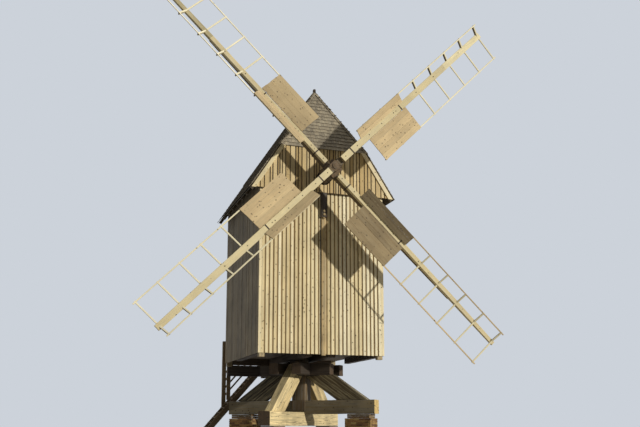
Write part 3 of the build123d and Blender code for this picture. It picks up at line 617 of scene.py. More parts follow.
# Pine boards, oiled by age: proud ones cream, sun-bleached; recessed ones browner, partly as painted shade.
proud_pine = wood("Sawn pine, sun-bleached", ["#d9c594", "#e6d5a6", "#f0e0b5", "#f6ebc6"], "#a58c5e", "#e0d4b2",
                  checks=0.35, knots=0.75, streak=0.16, patch=0.12)
recess_shade_pine = wood("Sawn pine in the recesses, painted shade", ["#6d5733", "#836a42", "#997f53"], "#7b643e", "#a08c62",
                   bleached=0.25, checks=0.4, knots=0.3, streak=0.2, patch=0.18)
rng = np.random.default_rng(90)
joints = (np.arange(front_boards + 1) - front_boards / 2) * period
joints[[0, -1]] += (period * 0.34, -period * 0.34)
back, face = boarding(body_front, hem, jetty, body_half, joints, rng.uniform(0.106, 0.124, len(joints)), (), 91)
make_piece("front_wall_boards", [back], recess_shade_pine, "pale_boards", "buck", "front_wall")
make_piece("front_wall_battens", [face], proud_pine, "pale_boards", "buck")

hub_y, hub_z, shaft_tilt = -3.8019, 11.370, radians(3.35)
hole_r = 0.310
hole_z = hub_z - (gable_front + board_thick / 2 - hub_y) * tan(shaft_tilt)


def round_hole(side):
    """Ends boards on one side of the shaft's hole, where height is its middle +- sqrt(r^2 - x^2)."""
    def trim(first, last, low, high):
        x, z0, rise = first[..., 0], first[..., 2], last[..., 2] - first[..., 2]
        ring = np.sqrt(np.maximum(hole_r ** 2 - x ** 2, 0.0))
        inside = abs(x) < hole_r
        if side < 0:
            return low, np.where(inside, np.minimum(high, (hole_z - ring - z0) / rise), high)
        return np.where(inside, np.maximum(low, (hole_z + ring - z0) / rise), low), high
    return trim


hip_z, hip_run, verge_front, verge_rear = 12.560, 1.290, -2.7469, 3.6581
under_roof = under_slopes(pitch * roof_flat)
under_top = under_roof + [((0, 0, 1), hip_z)]
gable_half = (ridge_z - jetty) / pitch - roof_flat
middles, widths = between(plain_edges(-gable_half, gable_half, 97, 0.09, 0.23))
widths = widths - rng.uniform(0.035, 0.060, len(widths))
gable_back, gable_face = zip(*(
    boarding(gable_front, low, high, gable_half, middles, widths, under_top, 95, trim=round_hole(side))
    for low, high, side in ((jetty, hole_z, -1), (hole_z, hip_z, 1))))
# The gable's boards are the same pine, more golden because the jetty's rain shadow keeps them drier.
gable_pine = wood("Sawn pine of the gable", ["#bda26c", "#d3ba86", "#e8d3a2"], "#9a8052", "#d6c294",
                  bleached=0.15, checks=0.4, knots=0.3, streak=0.18, patch=0.16)
# Its recessed boards are far darker: partly their own brown, partly painted shade in the recesses.
gable_recess_shade = wood("Sawn pine in the gable's recesses, painted shade", ["#493720", "#5a482b", "#6c5836"], "#7f6841",
                    bleached=0.15, checks=0.4, streak=0.2, patch=0.18)
make_piece("gable_boards", gable_back, gable_recess_shade, "pale_boards", "buck", "front_gable")
make_piece("gable_battens", gable_face, gable_pine, "pale_boards", "buck")

# Old boards of the side and rear walls: tar worn to grey-brown, streaked by rain from the eaves down.
tarred = wood("Tarred boards, weathered", ["#6e614f", "#82735d", "#92826a", "#a19176"], "#6b5f48", "#a39d8a",
              bleached=0.4, checks=0.8, streak=0.42, patch=0.35)
wall_top = ridge_z - (body_half + roof_flat) * pitch
for title, side, seed in (("left_wall", -1, 101), ("right_wall", 1, 102)):
    middles, widths = between(plain_edges(inner_front, inner_rear, seed))
    rng = np.random.default_rng(seed)
    thick = rng.uniform(0.034, 0.049, len(middles))
    lows = hem + rng.uniform(-0.006, 0.010, len(middles))
    if side > 0:
        lows = np.where(middles > sill_end, floor_low, lows)
    boards = span(side * (inner_half + thick / 2), middles, (lows, wall_top + 0.01), y_axis, widths - 0.008,
                  thick, ease=0.005, cuts=under_roof, seed=seed)
    make_piece(title + "_boards", [boards], tarred, "dark_boards", "buck", title)

door_x, door_wide, door_high, frame_wide = 0.400, 0.950, 1.950, 0.120
frame_top = floor_top + door_high + frame_wide
edges = plain_edges(-body_half, body_half, 103)
door_left, door_right = door_x - door_wide / 2, door_x + door_wide / 2
gap = (door_left - frame_wide, door_right + frame_wide)
edges = np.sort(np.concatenate([edges[(abs(edges - gap[0]) > 0.07) & (abs(edges - gap[1]) > 0.07)], gap]))
middles, widths = between(edges)
over_door = (middles > gap[0]) & (middles < gap[1])
thick = np.random.default_rng(103).uniform(0.034, 0.049, len(middles))
boards = span(middles, inner_rear + thick / 2, (np.where(over_door, frame_top, floor_low), hip_z), x_axis,
              widths - 0.008, thick, ease=0.005, cuts=under_top, seed=103)
make_piece("rear_wall_boards", [boards], tarred, "dark_boards", "buck", "rear_wall")


# Roof: sheathing boards on rafters, and on them split oak shingles nailed in courses, thick end down.
# A half hip cuts off the ridge at each end, and boards cap the ridge and hem the verges.
hip_rise = (ridge_z - hip_z) / hip_run
slope_len, hip_len = hypot(eave_half, ridge_z - eave_z), hypot(hip_run, ridge_z - hip_z)
hip_half = (ridge_z - hip_z) / pitch
exposure, shingle_len, butt, tip = 0.183, 0.42, 0.019, 0.005
sheath_wide, sheath_thick, rafter_wide, rafter_deep = 0.202, 0.024, 0.10, 0.11


def under_hips(drop):
    """Planes of the two half hips, lowered by the drop."""
    return [((0, way * hip_rise, 1), hip_z + way * hip_rise * verge - drop)
            for way, verge in ((-1, verge_front), (1, verge_rear))]


def shingled(title, foot, row, rise, out, length, ends, seed, cuts):
    """Courses of wedge-shaped shingles on a slope; returns how far up its sheathing boards lie, and where.

    Each course starts one exposure further up, its shingles have uneven widths and ends, and every one lies
    back on the course below: from the slope's outer surface at its butt to 40 mm under it at its upper end.
    """
    rng = np.random.default_rng(seed)
    shingles = []
    courses = int(length / exposure)
    step = length / courses
    for course in range(courses):
        low, high = ends(course * step)
        if high - low < 0.06:
            continue
        wide = rng.uniform(0.08, 0.15, int((high - low) / 0.112) + 3)
        edges = low + rng.uniform(-0.1, 0.0) + np.append(0, np.cumsum(wide))
        edges = np.clip(edges[edges < high + 0.15], low, high)
        middles, widths = between(edges[np.append(True, np.diff(edges) > 0.02)])
        count = len(middles)
        up = course * step + rng.uniform(-0.016, 0.016, count) * (course > 0)
        back = rng.uniform(0.0, 0.005, count)
        base = foot + row * middles[:, None] + rise * up[:, None] - out * (butt / 2 + back)[:, None]
        reach = np.minimum(shingle_len, length - up - 0.01)
        fall = 0.040 * reach / shingle_len
        shingles.append((base, base + rise * reach[:, None] - out * fall[:, None],
                         widths - rng.uniform(0.002, 0.006, count), rng.uniform(0, 1, count)))
    starts, tops, widths, tags = (np.concatenate(column) for column in zip(*shingles))
    rows = timbers(starts, tops, row, widths, (butt, tip), ease=0.0, facets=0, cuts=cuts, tags=tags)
    make_piece(title + "_shingles", [rows], shingle_oak, "shingles", "buck", title)
    ups = np.arange(0.11, length - 0.12, 0.21)
    return ups, foot + rise * ups[:, None] - out * (roof_thick - sheath_thick / 2)


# Split oak shingles: greyish brown, each its own shade, with fine dark checks.
shingle_oak = wood("Split oak shingles", ["#7c7260", "#877c68", "#908570", "#998d76", "#a3977e"], "#564d3d",
                   "#aba38c", bleached=0.3, checks=0.4, knots=0.05, streak=0.22, patch=0.25)
# Sawn boards under the shingles, dull brown where only air reaches them.
sheath_boards = wood("Sheathing boards", ["#4d4332", "#5c503c", "#6b5e47"], "#574a36", bleached=0.1)
for title, side in (("roof_left", -1), ("roof_right", 1)):
    rise = np.array([-side * eave_half, 0, ridge_z - eave_z]) / slope_len
    out = np.array([side * sin(slope), 0, cos(slope)])
    foot = np.array([side * eave_half, 0, eave_z])
    ups, base = shingled(title, foot, -side * y_axis, rise, out, slope_len,
                         lambda up: sorted((-side * verge_front, -side * verge_rear)), 110 + side,
                         under_hips(-0.045))
    planks = timbers(base + y_axis * (verge_front + 0.02), base + y_axis * (verge_rear - 0.02), rise,
                     sheath_wide, sheath_thick, cuts=under_hips(0.25), seed=112 + side)
    ys = y_axis * np.linspace(verge_front + 0.12, verge_rear - 0.12, 8)[:, None]
    below = out * (roof_thick + rafter_deep / 2)
    rafters = timbers(foot + rise * 0.03 - below + ys, foot + rise * (slope_len - 0.16) - below + ys, y_axis,
                      rafter_wide, rafter_deep, ease=0.006, cuts=under_hips(0.35) + [((-side, 0, 0), -0.02)],
                      seed=114 + side)
    make_piece(title + "_sheathing", [planks, rafters], sheath_boards, "frame_timber", "buck")

for title, verge, inward in (("front_half_hip", verge_front, 1), ("rear_half_hip", verge_rear, -1)):
    rise = np.array([0, inward * hip_run, ridge_z - hip_z]) / hip_len
    out = np.array([0, -inward * (ridge_z - hip_z), hip_run]) / hip_len
    ups, base = shingled(title, np.array([0, verge, hip_z]), inward * x_axis, rise, out, hip_len,
                         lambda up: (-hip_half * (1 - up / hip_len), hip_half * (1 - up / hip_len)),
                         120 + inward, under_slopes(0))
    planks = centred(base, x_axis * (hip_half * (1 - ups / hip_len) - 0.12)[:, None], rise, sheath_wide,
                     sheath_thick, cuts=under_slopes(0.12), seed=122 + inward)
    make_piece(title + "_sheathing", [planks], sheath_boards, "frame_timber", "buck")


def cap_row(low, high, face, seed):
    """Short boards along an edge, each lifted at its lower end; face is the normal of the slope they lie on."""
    length = np.linalg.norm(high - low)
    edge = (high - low) / length
    inward = np.cross(face, edge)
    inward = inward * np.sign(inward @ (post_y * y_axis + up_z * hip_z - low))
    at = np.arange(0.02, length - 0.22, exposure)[:, None]
    base = low + edge * at + inward * 0.052 + face * 0.014
    widths = np.random.default_rng(seed).uniform(0.085, 0.110, len(at))
    return timbers(base, base + edge * 0.27 - face * 0.011, inward, widths, 0.013, ease=0.0, facets=0,
                   seed=seed)


caps = []
for side in (-1, 1):
    slope_out = np.array([side * sin(slope), 0, cos(slope)])
    for verge, inward in ((verge_front, 1), (verge_rear, -1)):
        hip_out = np.array([0, -inward * (ridge_z - hip_z), hip_run]) / hip_len
        corner = np.array([side * hip_half, verge, hip_z])
        peak = np.array([0, verge + inward * hip_run, ridge_z])
        caps += [cap_row(corner, peak, face, 124 + side) for face in (slope_out, hip_out)]
    ridge = np.array([0, 0, ridge_z]) + (
        slope_out * 0.016 + np.array([side * eave_half, 0, eave_z - ridge_z]) / slope_len * 0.082)
    joint_y = post_y + 0.35 * side
    for a, b in ((verge_front + hip_run, joint_y - 0.002), (joint_y + 0.002, verge_rear - hip_run)):
        caps.append(timbers(ridge + y_axis * a, ridge + y_axis * b, np.cross(y_axis, slope_out), 0.150, 0.022,
                            ease=0.003, seed=126 + side))
make_piece("hip_and_ridge_caps", caps, shingle_oak, "shingles", "buck")


# Barge boards hem the gable under the verge, and a short post stands on the ridge's front end.
# The boards are sawn pine, paler than those behind them, and the post is dark oak.
def across_mill(points, y, thick, grain, tag=0.5):
    """An upright outline across the mill, as (x, z) pairs, counter-clockwise seen from the sails."""
    return outline(points, (0, y, 0), x_axis, up_z, thick, grain, tag)


barge_flat, barge_thick, barge_y = 0.165 / sin(slope), 0.048, (gable_front + verge_front) / 2
foot_half = (ridge_z - eave_z) / pitch - roof_flat
top_half = hip_half - roof_flat
barges = [across_mill([(-foot_half, eave_z), (-foot_half + barge_flat, eave_z), (-top_half + barge_flat, hip_z),
                       (-top_half, hip_z)], barge_y, barge_thick, slope, 0.3),
          across_mill([(foot_half - barge_flat, eave_z), (foot_half, eave_z), (top_half, hip_z),
                       (top_half - barge_flat, hip_z)], barge_y, barge_thick, pi - slope, 0.7)]
make_piece("barges", barges, proud_pine, "pale_boards", "buck", "barge_boards", eased=0.006)
finial_half = 0.055
saddled, shoulder = ridge_z - finial_half * pitch, ridge_z + 0.09
stub = [across_mill([(-finial_half, saddled), (0, ridge_z), (finial_half, saddled), (finial_half, shoulder),
                     (0.02, ridge_z + 0.11), (-0.02, ridge_z + 0.11), (-finial_half, shoulder)],
                    verge_front + hip_run + finial_half, 2 * finial_half, pi / 2)]
make_piece("finial_post", stub, black_oak, "frame_timber", "buck", "finial", eased=0.008)


# Front trim: one wide board covers the middle joint, and the pendant post hangs from the jetty over it.
# Both are oak; the post has two carved knobs on its front face and one at its foot.
trim_x, pendant_low, pendant_deep = 0.025, 9.640, 0.135
cover = span(trim_x, body_front - 0.030, (hem - 0.05, pendant_low), x_axis, 0.180, 0.058, ease=0.008,
             stations=16, hew=0.002, seed=131, tags=0.5)
# Planed oak of the cover board, greyed by the rain.
cover_oak = wood("Planed oak, greyed", ["#a08a61", "#b39b6e", "#c4ae80"], "#857859", "#bfb08c", bleached=0.3,
                 checks=0.8)
make_piece("cover_plank", [cover], cover_oak, "pale_boards", "buck", "cover_board")
# A thin near-black strip left of the cover board is painted shadow: the shadow that the board casts.
shadow_strip = span(trim_x - 0.113, body_front - 0.004, (hem, pendant_low), x_axis, 0.044, 0.008, ease=0.002,
            stations=16, hew=0.001, seed=132)
make_piece("cover_shadow_strip", [shadow_strip], black_oak, "old_oak", "buck")
pendant_y = (gable_front + 0.020 + body_front) / 2
pendant = span(trim_x, pendant_y, (pendant_low, jetty), x_axis, 0.260, pendant_deep, ease=0.018, facets=2,
               stations=10, hew=0.004, seed=133, tags=0.4)
# Oak of the pendant post: dark partly of its own, partly painted shade of the gable's shadow.
pendant_oak = wood("Carved oak, dark", ["#33281b", "#403324"], "#3b2f20", bleached=0.15, checks=0.8)
make_piece("pendant", [pendant], pendant_oak, "old_oak", "buck", "pendant_post")
# Carved knobs, paler than the post.
knob_oak = wood("Carved oak, pale", ["#8a744c", "#a08a60"], "#a8946a", bleached=0.3)
knob = [(0.030, 0.0), (0.048, 0.008), (0.060, 0.022), (0.054, 0.036), (0.034, 0.046)]
front_face = np.array([trim_x, pendant_y - pendant_deep / 2, 0.0])
knobs = [turned(front_face + up_z * np.array([[9.745], [9.895]]), -y_axis, up_z, knob, 16, 0.5),
         turned((trim_x, pendant_y, pendant_low), -up_z, x_axis,
                [(0.060, 0.0), (0.050, 0.020), (0.058, 0.045), (0.030, 0.080)], 16, 0.6)]
make_piece("pendant_knobs", knobs, knob_oak, "old_oak", "buck")


# Rear door: a leaf of upright boards in an oak frame, hung on two long iron strap hinges.
# It is closed, with a latch plate and a ring near its free edge.
frame_y, frame_deep = body_rear - 0.015, 0.070
door_frame = [span(x, frame_y, (floor_low, frame_top - frame_wide), x_axis, frame_wide - 0.002, frame_deep,
                   ease=0.006, seed=seed)
              for x, seed in ((door_left - frame_wide / 2, 140), (door_right + frame_wide / 2, 141))]
door_frame.append(span(gap, frame_y, frame_top - frame_wide / 2, up_z, frame_wide - 0.002, frame_deep,
                       ease=0.006, seed=142))
door_frame.append(span((door_left, door_right), frame_y, (floor_low + floor_top) / 2, up_z,
                       floor_top - floor_low - 0.002, frame_deep, ease=0.006, seed=143))
make_piece("door_frame_timbers", door_frame, frame_oak, "frame_timber", "buck", "door_frame")
middles, widths = between(plain_edges(door_left + 0.006, door_right - 0.006, 144, 0.15, 0.2))
leaf = span(middles, inner_rear + 0.032, (floor_top + 0.008, floor_top + door_high - 0.008), x_axis,
            widths - 0.006, 0.056, seed=144, ease=0.005)
make_piece("door_leaf_boards", [leaf], tarred, "dark_boards", "buck", "door_leaf")

# Forged iron, black with a brown bloom of rust.
iron, tree, shader = new_material("Forged iron, rust-bloomed")
where = add(tree, "TexCoord").outputs["Object"]
rust = add(tree, "TexNoise", {"Vector": where, "Scale": 22.0, "Detail": 6.0, "Roughness": 0.7})
colour = add(tree, "ValToRGB", {0: rust}, ramp=[(0.35, "#2b2825"), (0.55, "#3d322a"), (0.75, "#5c3f2b")])
rough = add(tree, "MapRange", {0: rust, 1: 0.3, 2: 0.7, 3: 0.5, 4: 0.9})
bump = add(tree, "Bump", {"Strength": 0.5, "Distance": 0.002, "Height": rust})
plug(tree, shader, {"Metallic": 0.6, "Base Color": colour, "Roughness": rough, "Normal": bump})
leaf_face, latch_x = inner_rear + 0.060, door_x - 0.42
hinges = np.array([(door_x - 0.32, leaf_face + 0.004, floor_top + high) for high in (0.34, 1.60)])
door_irons = [
    timbers(hinges, hinges + x_axis * 0.80, up_z, (0.034, 0.060), 0.008, ease=0.002, seed=145),
    turned(hinges + x_axis * 0.83 + [0, 0.004, -0.040], up_z, x_axis, [(0.016, 0.0), (0.016, 0.080)], 12),
    span(latch_x, leaf_face + 0.003, (5.13, 5.31), x_axis, 0.070, 0.006, ease=0.002, seed=146),
    turned((latch_x, leaf_face + 0.006, 5.26), y_axis, x_axis, [(0.014, 0.0), (0.014, 0.016)], 12)]
nail = [(0.010, 0.0), (0.008, 0.005)]
door_irons += [turned(hinges + x_axis * step + y_axis * 0.003, y_axis, x_axis, nail)
               for step in (0.06, 0.26, 0.46, 0.66)]
angle = np.linspace(0, 2 * pi, 19)[:, None]
ring = np.array([latch_x, leaf_face + 0.018, 5.215]) + 0.045 * (np.cos(angle) * x_axis + np.sin(angle) * up_z)
door_irons.append(timbers(ring[:-1], ring[1:], y_axis, 0.010, 0.010, seed=147))
make_piece("door_irons", door_irons, iron, "iron", "buck")


# Landing and stair behind the mill: two beams on the sheers, posts, boards, and a steep stair to the left.
# All is pine and oak left to the weather; the stair ends just above the ground so that the buck can turn.
landing_left, landing_right, landing_top, beam_low = -0.650, 1.350, 4.220, 3.370
landing_end, beam_wide, hanger_x, hanger = body_rear + landing_deep, 0.140, -2.480, 0.180
near_y, far_y = body_rear + beam_wide / 2, landing_end - beam_wide / 2
post_line = landing_end + hanger / 2
near_post = near_y + beam_wide / 2
# Pine of the landing and the stair, brown with grey patches.
stair_brown = wood("Stair pine, weathered", ["#5d4a32", "#6f593c", "#806847"], "#6b5436", "#978a6c",
                   bleached=0.3, checks=0.6)
beam_mid, beam_deep = (beam_low + sheer_low) / 2, 0.500
# The landing's beams are near black: painted shade under the body.
parts = [span((left, landing_right), y, beam_mid, y_axis, beam_wide, beam_deep, ease=0.015, stations=stations,
              hew=0.005, seed=seed) for left, y, stations, seed in ((hanger_x - hanger / 2, near_y, 16, 150),
                                                                    (landing_left, far_y, 8, 151))]
parts.append(span(landing_right - beam_wide / 2, (body_rear + 0.001, landing_end), sheer_mid, x_axis, beam_wide,
                  0.30, ease=0.012, seed=152))
make_piece("landing_beam_timbers", parts, black_oak, "stair_timber", "buck", "landing_beams")
middles, widths = between(np.linspace(landing_left, landing_right, 12))
planks = span(middles, (body_rear + 0.025, landing_end - 0.001), 4.195, x_axis, widths - 0.008, 0.048, seed=153)
make_piece("landing_planks", [planks], stair_brown, "stair_timber", "buck", "landing_floor")
parts = [span(hanger_x, post_line, (1.690, 5.100), x_axis, hanger, hanger, ease=0.012, stations=16, hew=0.005,
              seed=154), span(hanger_x, near_post + hanger / 4, (2.280, 4.590), x_axis, hanger, hanger / 2,
                              ease=0.010, stations=12, hew=0.004, seed=155)]
parts += [span(x, post_line, (beam_low, 5.270), x_axis, hanger, hanger, ease=0.012, stations=12, hew=0.004,
               seed=156) for x in (landing_left + hanger / 2, landing_right - hanger / 2)]
make_piece("landing_post_timbers", parts, stair_brown, "stair_timber", "buck", "landing_posts")

stair_slope, stair_foot, stair_steps, tread_thick = radians(49), 0.150, 18, 0.045
stair_low = landing_left - (landing_top - stair_foot) / tan(stair_slope)
stringer_ys = (near_post + hanger / 2 + 0.030, post_line - hanger / 2 - 0.030)
stringer_deep, rail_deep = 0.240, 0.075


def slanted(y, thick, up, deep, end_x, tag, least=None):
    """Board along the stair; up is its middle's height above the line from the landing's edge to the foot."""
    half_up = deep / cos(stair_slope) / 2
    top = landing_top + up
    bottom = landing_top - (landing_left - end_x) * tan(stair_slope) + up
    points = [(end_x, bottom - half_up), (landing_left, top - half_up), (landing_left, top + half_up),
              (end_x, bottom + half_up)]
    if least is not None:
        points = [(end_x, least), (end_x + (least - bottom + half_up) / tan(stair_slope), least)] + points[1:]
    return across_mill(points, y, thick, stair_slope, tag)


parts = [slanted(y, 0.060, -stringer_deep / cos(stair_slope) / 2, stringer_deep, stair_low, 0.2 + 0.3 * i,
                 stair_foot) for i, y in enumerate(stringer_ys)]
make_piece("stringer_planks", parts, stair_brown, "stair_timber", "buck", "stringers", eased=0.006)
tread_tops = landing_top - (landing_top - stair_foot) / stair_steps * np.arange(1, stair_steps)
z = tread_tops - tread_thick / 2
x = landing_left - (landing_top - z - tread_thick / 2) / tan(stair_slope) - 0.040 + 0.110
treads = span(x, (stringer_ys[0] + 0.030, stringer_ys[1] - 0.030), z, x_axis, 0.218, tread_thick - 0.002,
              ease=0.006, seed=160)
make_piece("stair_treads", [treads], stair_brown, "stair_timber", "buck", "treads")
parts = [slanted(post_line, 0.035, 0.350 * (step + 1), rail_deep, hanger_x + hanger / 2, 0.2 * step)
         for step in range(4)]
parts += [span((landing_left + hanger, landing_right - hanger), post_line, landing_top + up - rail_deep / 2,
               up_z, rail_deep, 0.035, seed=165) for up in (0.525, 1.050)]
make_piece("rail_slats", parts, stair_brown, "stair_timber", "buck", "rails", eased=0.004)


# Windshaft: an oak trunk that rises a little towards the sails, squared at its head for the two stocks.
# The head is mortised through twice, stepped back in front of the stocks, and held by forged iron bands.
shaft_dir = np.array([0.0, -cos(shaft_tilt), sin(shaft_tilt)])
sail_up = np.array([0.0, sin(shaft_tilt), cos(shaft_tilt)])
sail_angle = radians(44.8)
tail_y, neck, nose = post_y + 1.900, 0.060, 0.352
shaft_len = (tail_y - hub_y) / cos(shaft_tilt)


def on_shaft(out):
    """A point of the shaft's axis, so far in front of the hub."""
    return np.array([0.0, hub_y, hub_z]) + shaft_dir * out


def spoke(index):
    """Directions along an arm of the sails and across it, in the sails' plane."""
    angle = sail_angle + index * pi / 2
    return x_axis * cos(angle) + sail_up * sin(angle), sail_up * cos(angle) - x_axis * sin(angle)


r, q = spoke(0)
parts = [
    timbers(on_shaft(-shaft_len - 0.450), on_shaft(-shaft_len + 0.400), x_axis, 0.30, 0.30, ease=0.15, facets=6,
            tags=0.3, seed=170),
    timbers(on_shaft(-shaft_len + 0.400), on_shaft(-0.519), x_axis, 0.48, 0.48, ease=0.24, facets=8,
            stations=12, tags=0.4, seed=171),
    timbers(on_shaft(-0.520), on_shaft(neck), r, 0.600, 0.600, ease=0.03, facets=2, stations=8, hew=0.006,
            tags=0.6, seed=172),
    timbers(on_shaft(neck - 0.01), on_shaft(nose), r, 0.380, 0.380, ease=0.06, facets=2, stations=5, hew=0.004,
            tags=0.7, seed=173),
    turned(on_shaft(0), shaft_dir, r, [(0.135, nose - 0.01), (0.135, 0.380), (0.110, 0.396)], 20, 0.4)]
# Oak of the windshaft: reddish brown where the sun has not greyed it.
poll_oak = wood("Hewn oak of the windshaft", ["#4f3e2a", "#5f4c33", "#705b3f"], "#67543b", bleached=0.3,
                checks=0.8)
make_piece("shaft", parts, poll_oak, "old_oak", "sails", "windshaft")


# Sails: two tapered stocks pass through the poll, a whip is strapped to each half, and the lattice's bars pass
# through the whips. Planks cover the inner part of each lattice. The stocks are oak, the rest is bleached pine.
arm_wide, arm_out, lattice_out = (0.280, 0.200), (0.208, -0.268), (0.428, 0.012)
stock_deep, stock_tip, stock_half = 0.280, 0.060, 7.121
whip_deep, whip_tip, sail_reach = 0.160, 0.100, 9.770
bars_at, lath_half, plank_end, strap_places = 9.646 - 1.085 * np.arange(8), 0.0225, 4.301, (0.950, 4.051)
# The lattice's two sides: slant, which way, width, inner end of the planks, bars' overhang and count of planks.
lattice_sides = ((radians(7.5), -1, 1.220, 1.950, 0.020, 4), (radians(30), 1, 0.527, 1.600, 0.005, 2))
# Pine of the whips, planed, and bleached on every side.
planed_pine = wood("Planed pine, sun-bleached", ["#a1956c", "#cdbc8f", "#d8c99b", "#ecdfb2"], "#9d8860",
                   "#e6dab6", bleached=0.25, checks=0.4, knots=0.12, streak=0.16, patch=0.12)
# Boards of the sails' inner parts, from brown to cream, with many knots; the browns serve as painted shade.
board_pine = wood("Sail boards of pine", ["#5f5138", "#8a7858", "#a18c66", "#b8a37b", "#cfb689", "#dac293"],
                  "#9d8860", "#d3c196", bleached=0.15, checks=0.35, knots=0.85, streak=0.14, patch=0.15)
# The lattices are the palest of all; their brackets and the SE arm's bars and laths are darker as painted
# shade.
lath_pine = wood("Pine laths, bleached", ["#d9cca0", "#e6dbb3", "#f2e9c8"], "#9d8860", "#ece3c4", checks=0.3,
                 knots=0.1, streak=0.14, patch=0.1)
stock_parts, whip_parts, pale_bars, shaded_bars, plank_parts, strap_parts, bolts = [], [], [], [], [], [], []
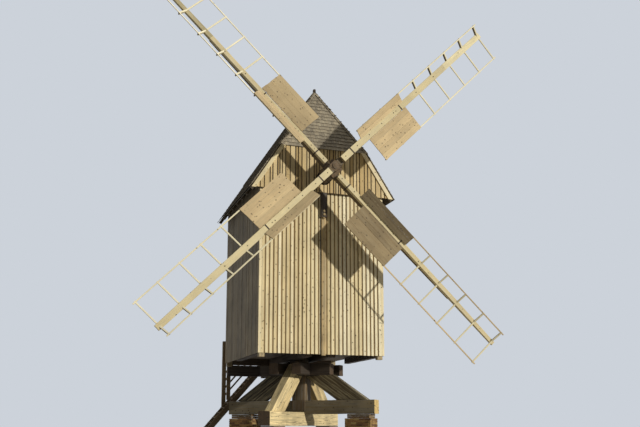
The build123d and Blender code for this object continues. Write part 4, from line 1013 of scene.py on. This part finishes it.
# Each arm's band of plank shades follows how brightly that arm was lit: painted light and shade.
plank_light_tones = ((0.70, 1.00), (0.42, 0.70), (0.58, 0.90), (0.08, 0.34))
for index in range(4):
    r, q = spoke(index)
    apart, half = arm_out[index % 2], arm_wide[index % 2] / 2
    base = on_shaft(apart)
    tag, tip_tag = ((0.6, 1.0), (0.4, 0.05), (0.6, 0.6), (0.5, 0.4))[index]
    if index < 2:
        stock_parts.append(centred(base, r * 0.301, q, 2 * half, stock_deep, ease=0.010, tags=tag))
    stock_end = base + r * stock_half + shaft_dir * (stock_deep - stock_tip) / 2
    stock_parts.append(timbers(base + r * 0.300, stock_end, q, 2 * half - 0.004, (stock_deep, stock_tip),
                               ease=0.010, stations=12, tags=tag, seed=180 + index, hew=0.003))
    face = base + shaft_dir * stock_deep / 2
    line = face + shaft_dir * whip_deep / 2
    whip_end = face + shaft_dir * whip_tip / 2 + r * sail_reach
    whip_parts.append(timbers(line + r * 0.380, line + r * stock_half, q, 2 * half, whip_deep, ease=0.010,
                              stations=12, tags=tag, seed=184 + index, hew=0.003))
    whip_parts.append(timbers(line + r * stock_half, whip_end, q, (2 * half, 2 * half - 0.03),
                              (whip_deep, whip_tip), ease=0.010, stations=8, tags=tip_tag, seed=184 + index,
                              hew=0.002))
    middle = on_shaft(lattice_out[index % 2])
    rng = np.random.default_rng(190 + index)
    jogs = rng.uniform(-0.006, 0.006, 8)
    for lean, way, far, first, past, count in lattice_sides:
        side = (q * cos(lean) + shaft_dir * sin(lean)) * way
        front = shaft_dir * cos(lean) - q * sin(lean)
        at = middle + r * (bars_at + jogs)[:, None] - front * 0.006
        reach = far + lath_half + past + rng.uniform(-0.005, 0.0, 8)
        # The SE arm's bars take the darker half of the shades: painted shade.
        pale_bars.append(timbers(at - side * 0.020, at + side * reach[:, None], r, 0.062, 0.038,
                                 seed=195 + index, tone=(0.5, 1.0) if index < 3 else (0.0, 0.5)))
        if way > 0:
            under = at - front * 0.048
            # The brackets are dark brown as painted shade, except for the NW arm's.
            group, shades = (pale_bars, (0.5, 1.0)) if index == 1 else (shaded_bars, (0.0, 0.1))
            group.append(timbers(under - side * 0.020, under + side * (far - 0.030), r, 0.056, 0.110,
                                 seed=198 + index, tone=shades))
        away = middle + side * (far - 0.006)
        # The SE arm's outer laths take browner board shades: painted shade.
        group, shades = (pale_bars, (0.5, 1.0)) if index < 3 else (shaded_bars, (0.75, 0.95))
        group.append(timbers(away + r * first, away + r * sail_reach, side, 0.057, 0.031, seed=200 + index,
                             stations=8, hew=0.002, tone=shades))
        near = half + 0.032 if way < 0 else (half - (0.010, 0.030)[index % 2]) / cos(lean)
        edges = np.linspace(near, far + lath_half, count + 1)
        edges[1:-1] += rng.uniform(-0.05, 0.05, count - 1)
        planks = list(zip(edges[:-1], edges[1:]))
        if way < 0:
            planks.append((half + 0.003, half + 0.030))
        for i, (a, b) in enumerate(planks):
            ends = (first + rng.uniform(-0.006, 0.010), plank_end - rng.uniform(0.0, 0.014))
            # The SE arm's narrow side is darker still: painted shade.
            number = rng.uniform(*plank_light_tones[index]) * (0.3 if index == 3 and way > 0 else 1.0)
            line = middle + front * (0.015 + 0.014) + side * (a + b) / 2 + front * rng.uniform(0.0, 0.006)
            for r0, r1 in [(ends[0], 4.012), (4.090, ends[1])] if i == count else [ends]:
                plank_parts.append(timbers(line + r * r0, line + r * r1, side, b - a - 0.002, 0.028, ease=0.002,
                                           tags=number))
    for at_r in strap_places:
        taper = (stock_deep - stock_tip) * (at_r - 0.035 - 0.300) / (stock_half - 0.300)
        back = apart - stock_deep / 2 + taper - 0.001
        ahead = apart + stock_deep / 2 + whip_deep + 0.001
        for s in (-1, 1):
            mid = on_shaft(0) + r * at_r + q * s * (half + 0.005)
            strap_parts.append(timbers(mid + shaft_dir * (back - 0.008), mid + shaft_dir * (ahead + 0.008), r,
                                       0.050, 0.008, ease=0.002, seed=220))
        strap_parts += [centred(on_shaft(0) + r * at_r + shaft_dir * level, q * (half + 0.0005), r, 0.050,
                                0.008, ease=0.002, seed=221) for level in (back - 0.004, ahead + 0.004)]
    bolt_at = np.array([0.56, 1.28, 2.05, 2.85, 3.62, 5.15, 6.35])
    bolts.append(turned(face + shaft_dir * (whip_deep - 0.004) + r * bolt_at[:, None], shaft_dir, r,
                        [(0.022, 0.0), (0.022, 0.010), (0.014, 0.017)]))
    for s in (-1, 1):
        wedge = base + q * s * (half + 0.018)
        stock_parts.append(timbers(wedge + r * 0.250, wedge + r * (0.345 + 0.01 * index), q, 0.034, 0.110,
                                   tags=0.1, seed=225))
# The stocks: brown oak, darkened as painted shade, since only their shaded sides are seen.
stock_shade_oak = wood("Oak of the stocks, painted shade", ["#57472e", "#665539", "#756343"], "#66553a", checks=0.6, knots=0.15)
make_piece("stock_timbers", stock_parts, stock_shade_oak, "sail_timber", "sails", "stocks")
make_piece("whip_timbers", whip_parts, planed_pine, "sail_timber", "sails", "whips")
make_piece("sail_bars", pale_bars, lath_pine, "sail_timber", "sails", "lattices")
make_piece("sail_bars_painted_shade", shaded_bars, board_pine, "sail_timber", "sails")
make_piece("sail_planks", plank_parts, board_pine, "sail_timber", "sails", "sail_boards")
make_piece("strap_irons", strap_parts, iron, "iron", "sails", "sail_straps")

r, q = spoke(0)
bands = [centred(on_shaft(level) + one * s * (reach + 0.001), other * (reach - 0.03), shaft_dir, 0.050, 0.008,
                 ease=0.002)
         for level, reach in ((-0.470, 0.303), (0.015, 0.303), (0.325, 0.192))
         for one, other in ((r, q), (q, r)) for s in (-1, 1)]
make_piece("poll_bands", bands + bolts, iron, "iron", "sails")
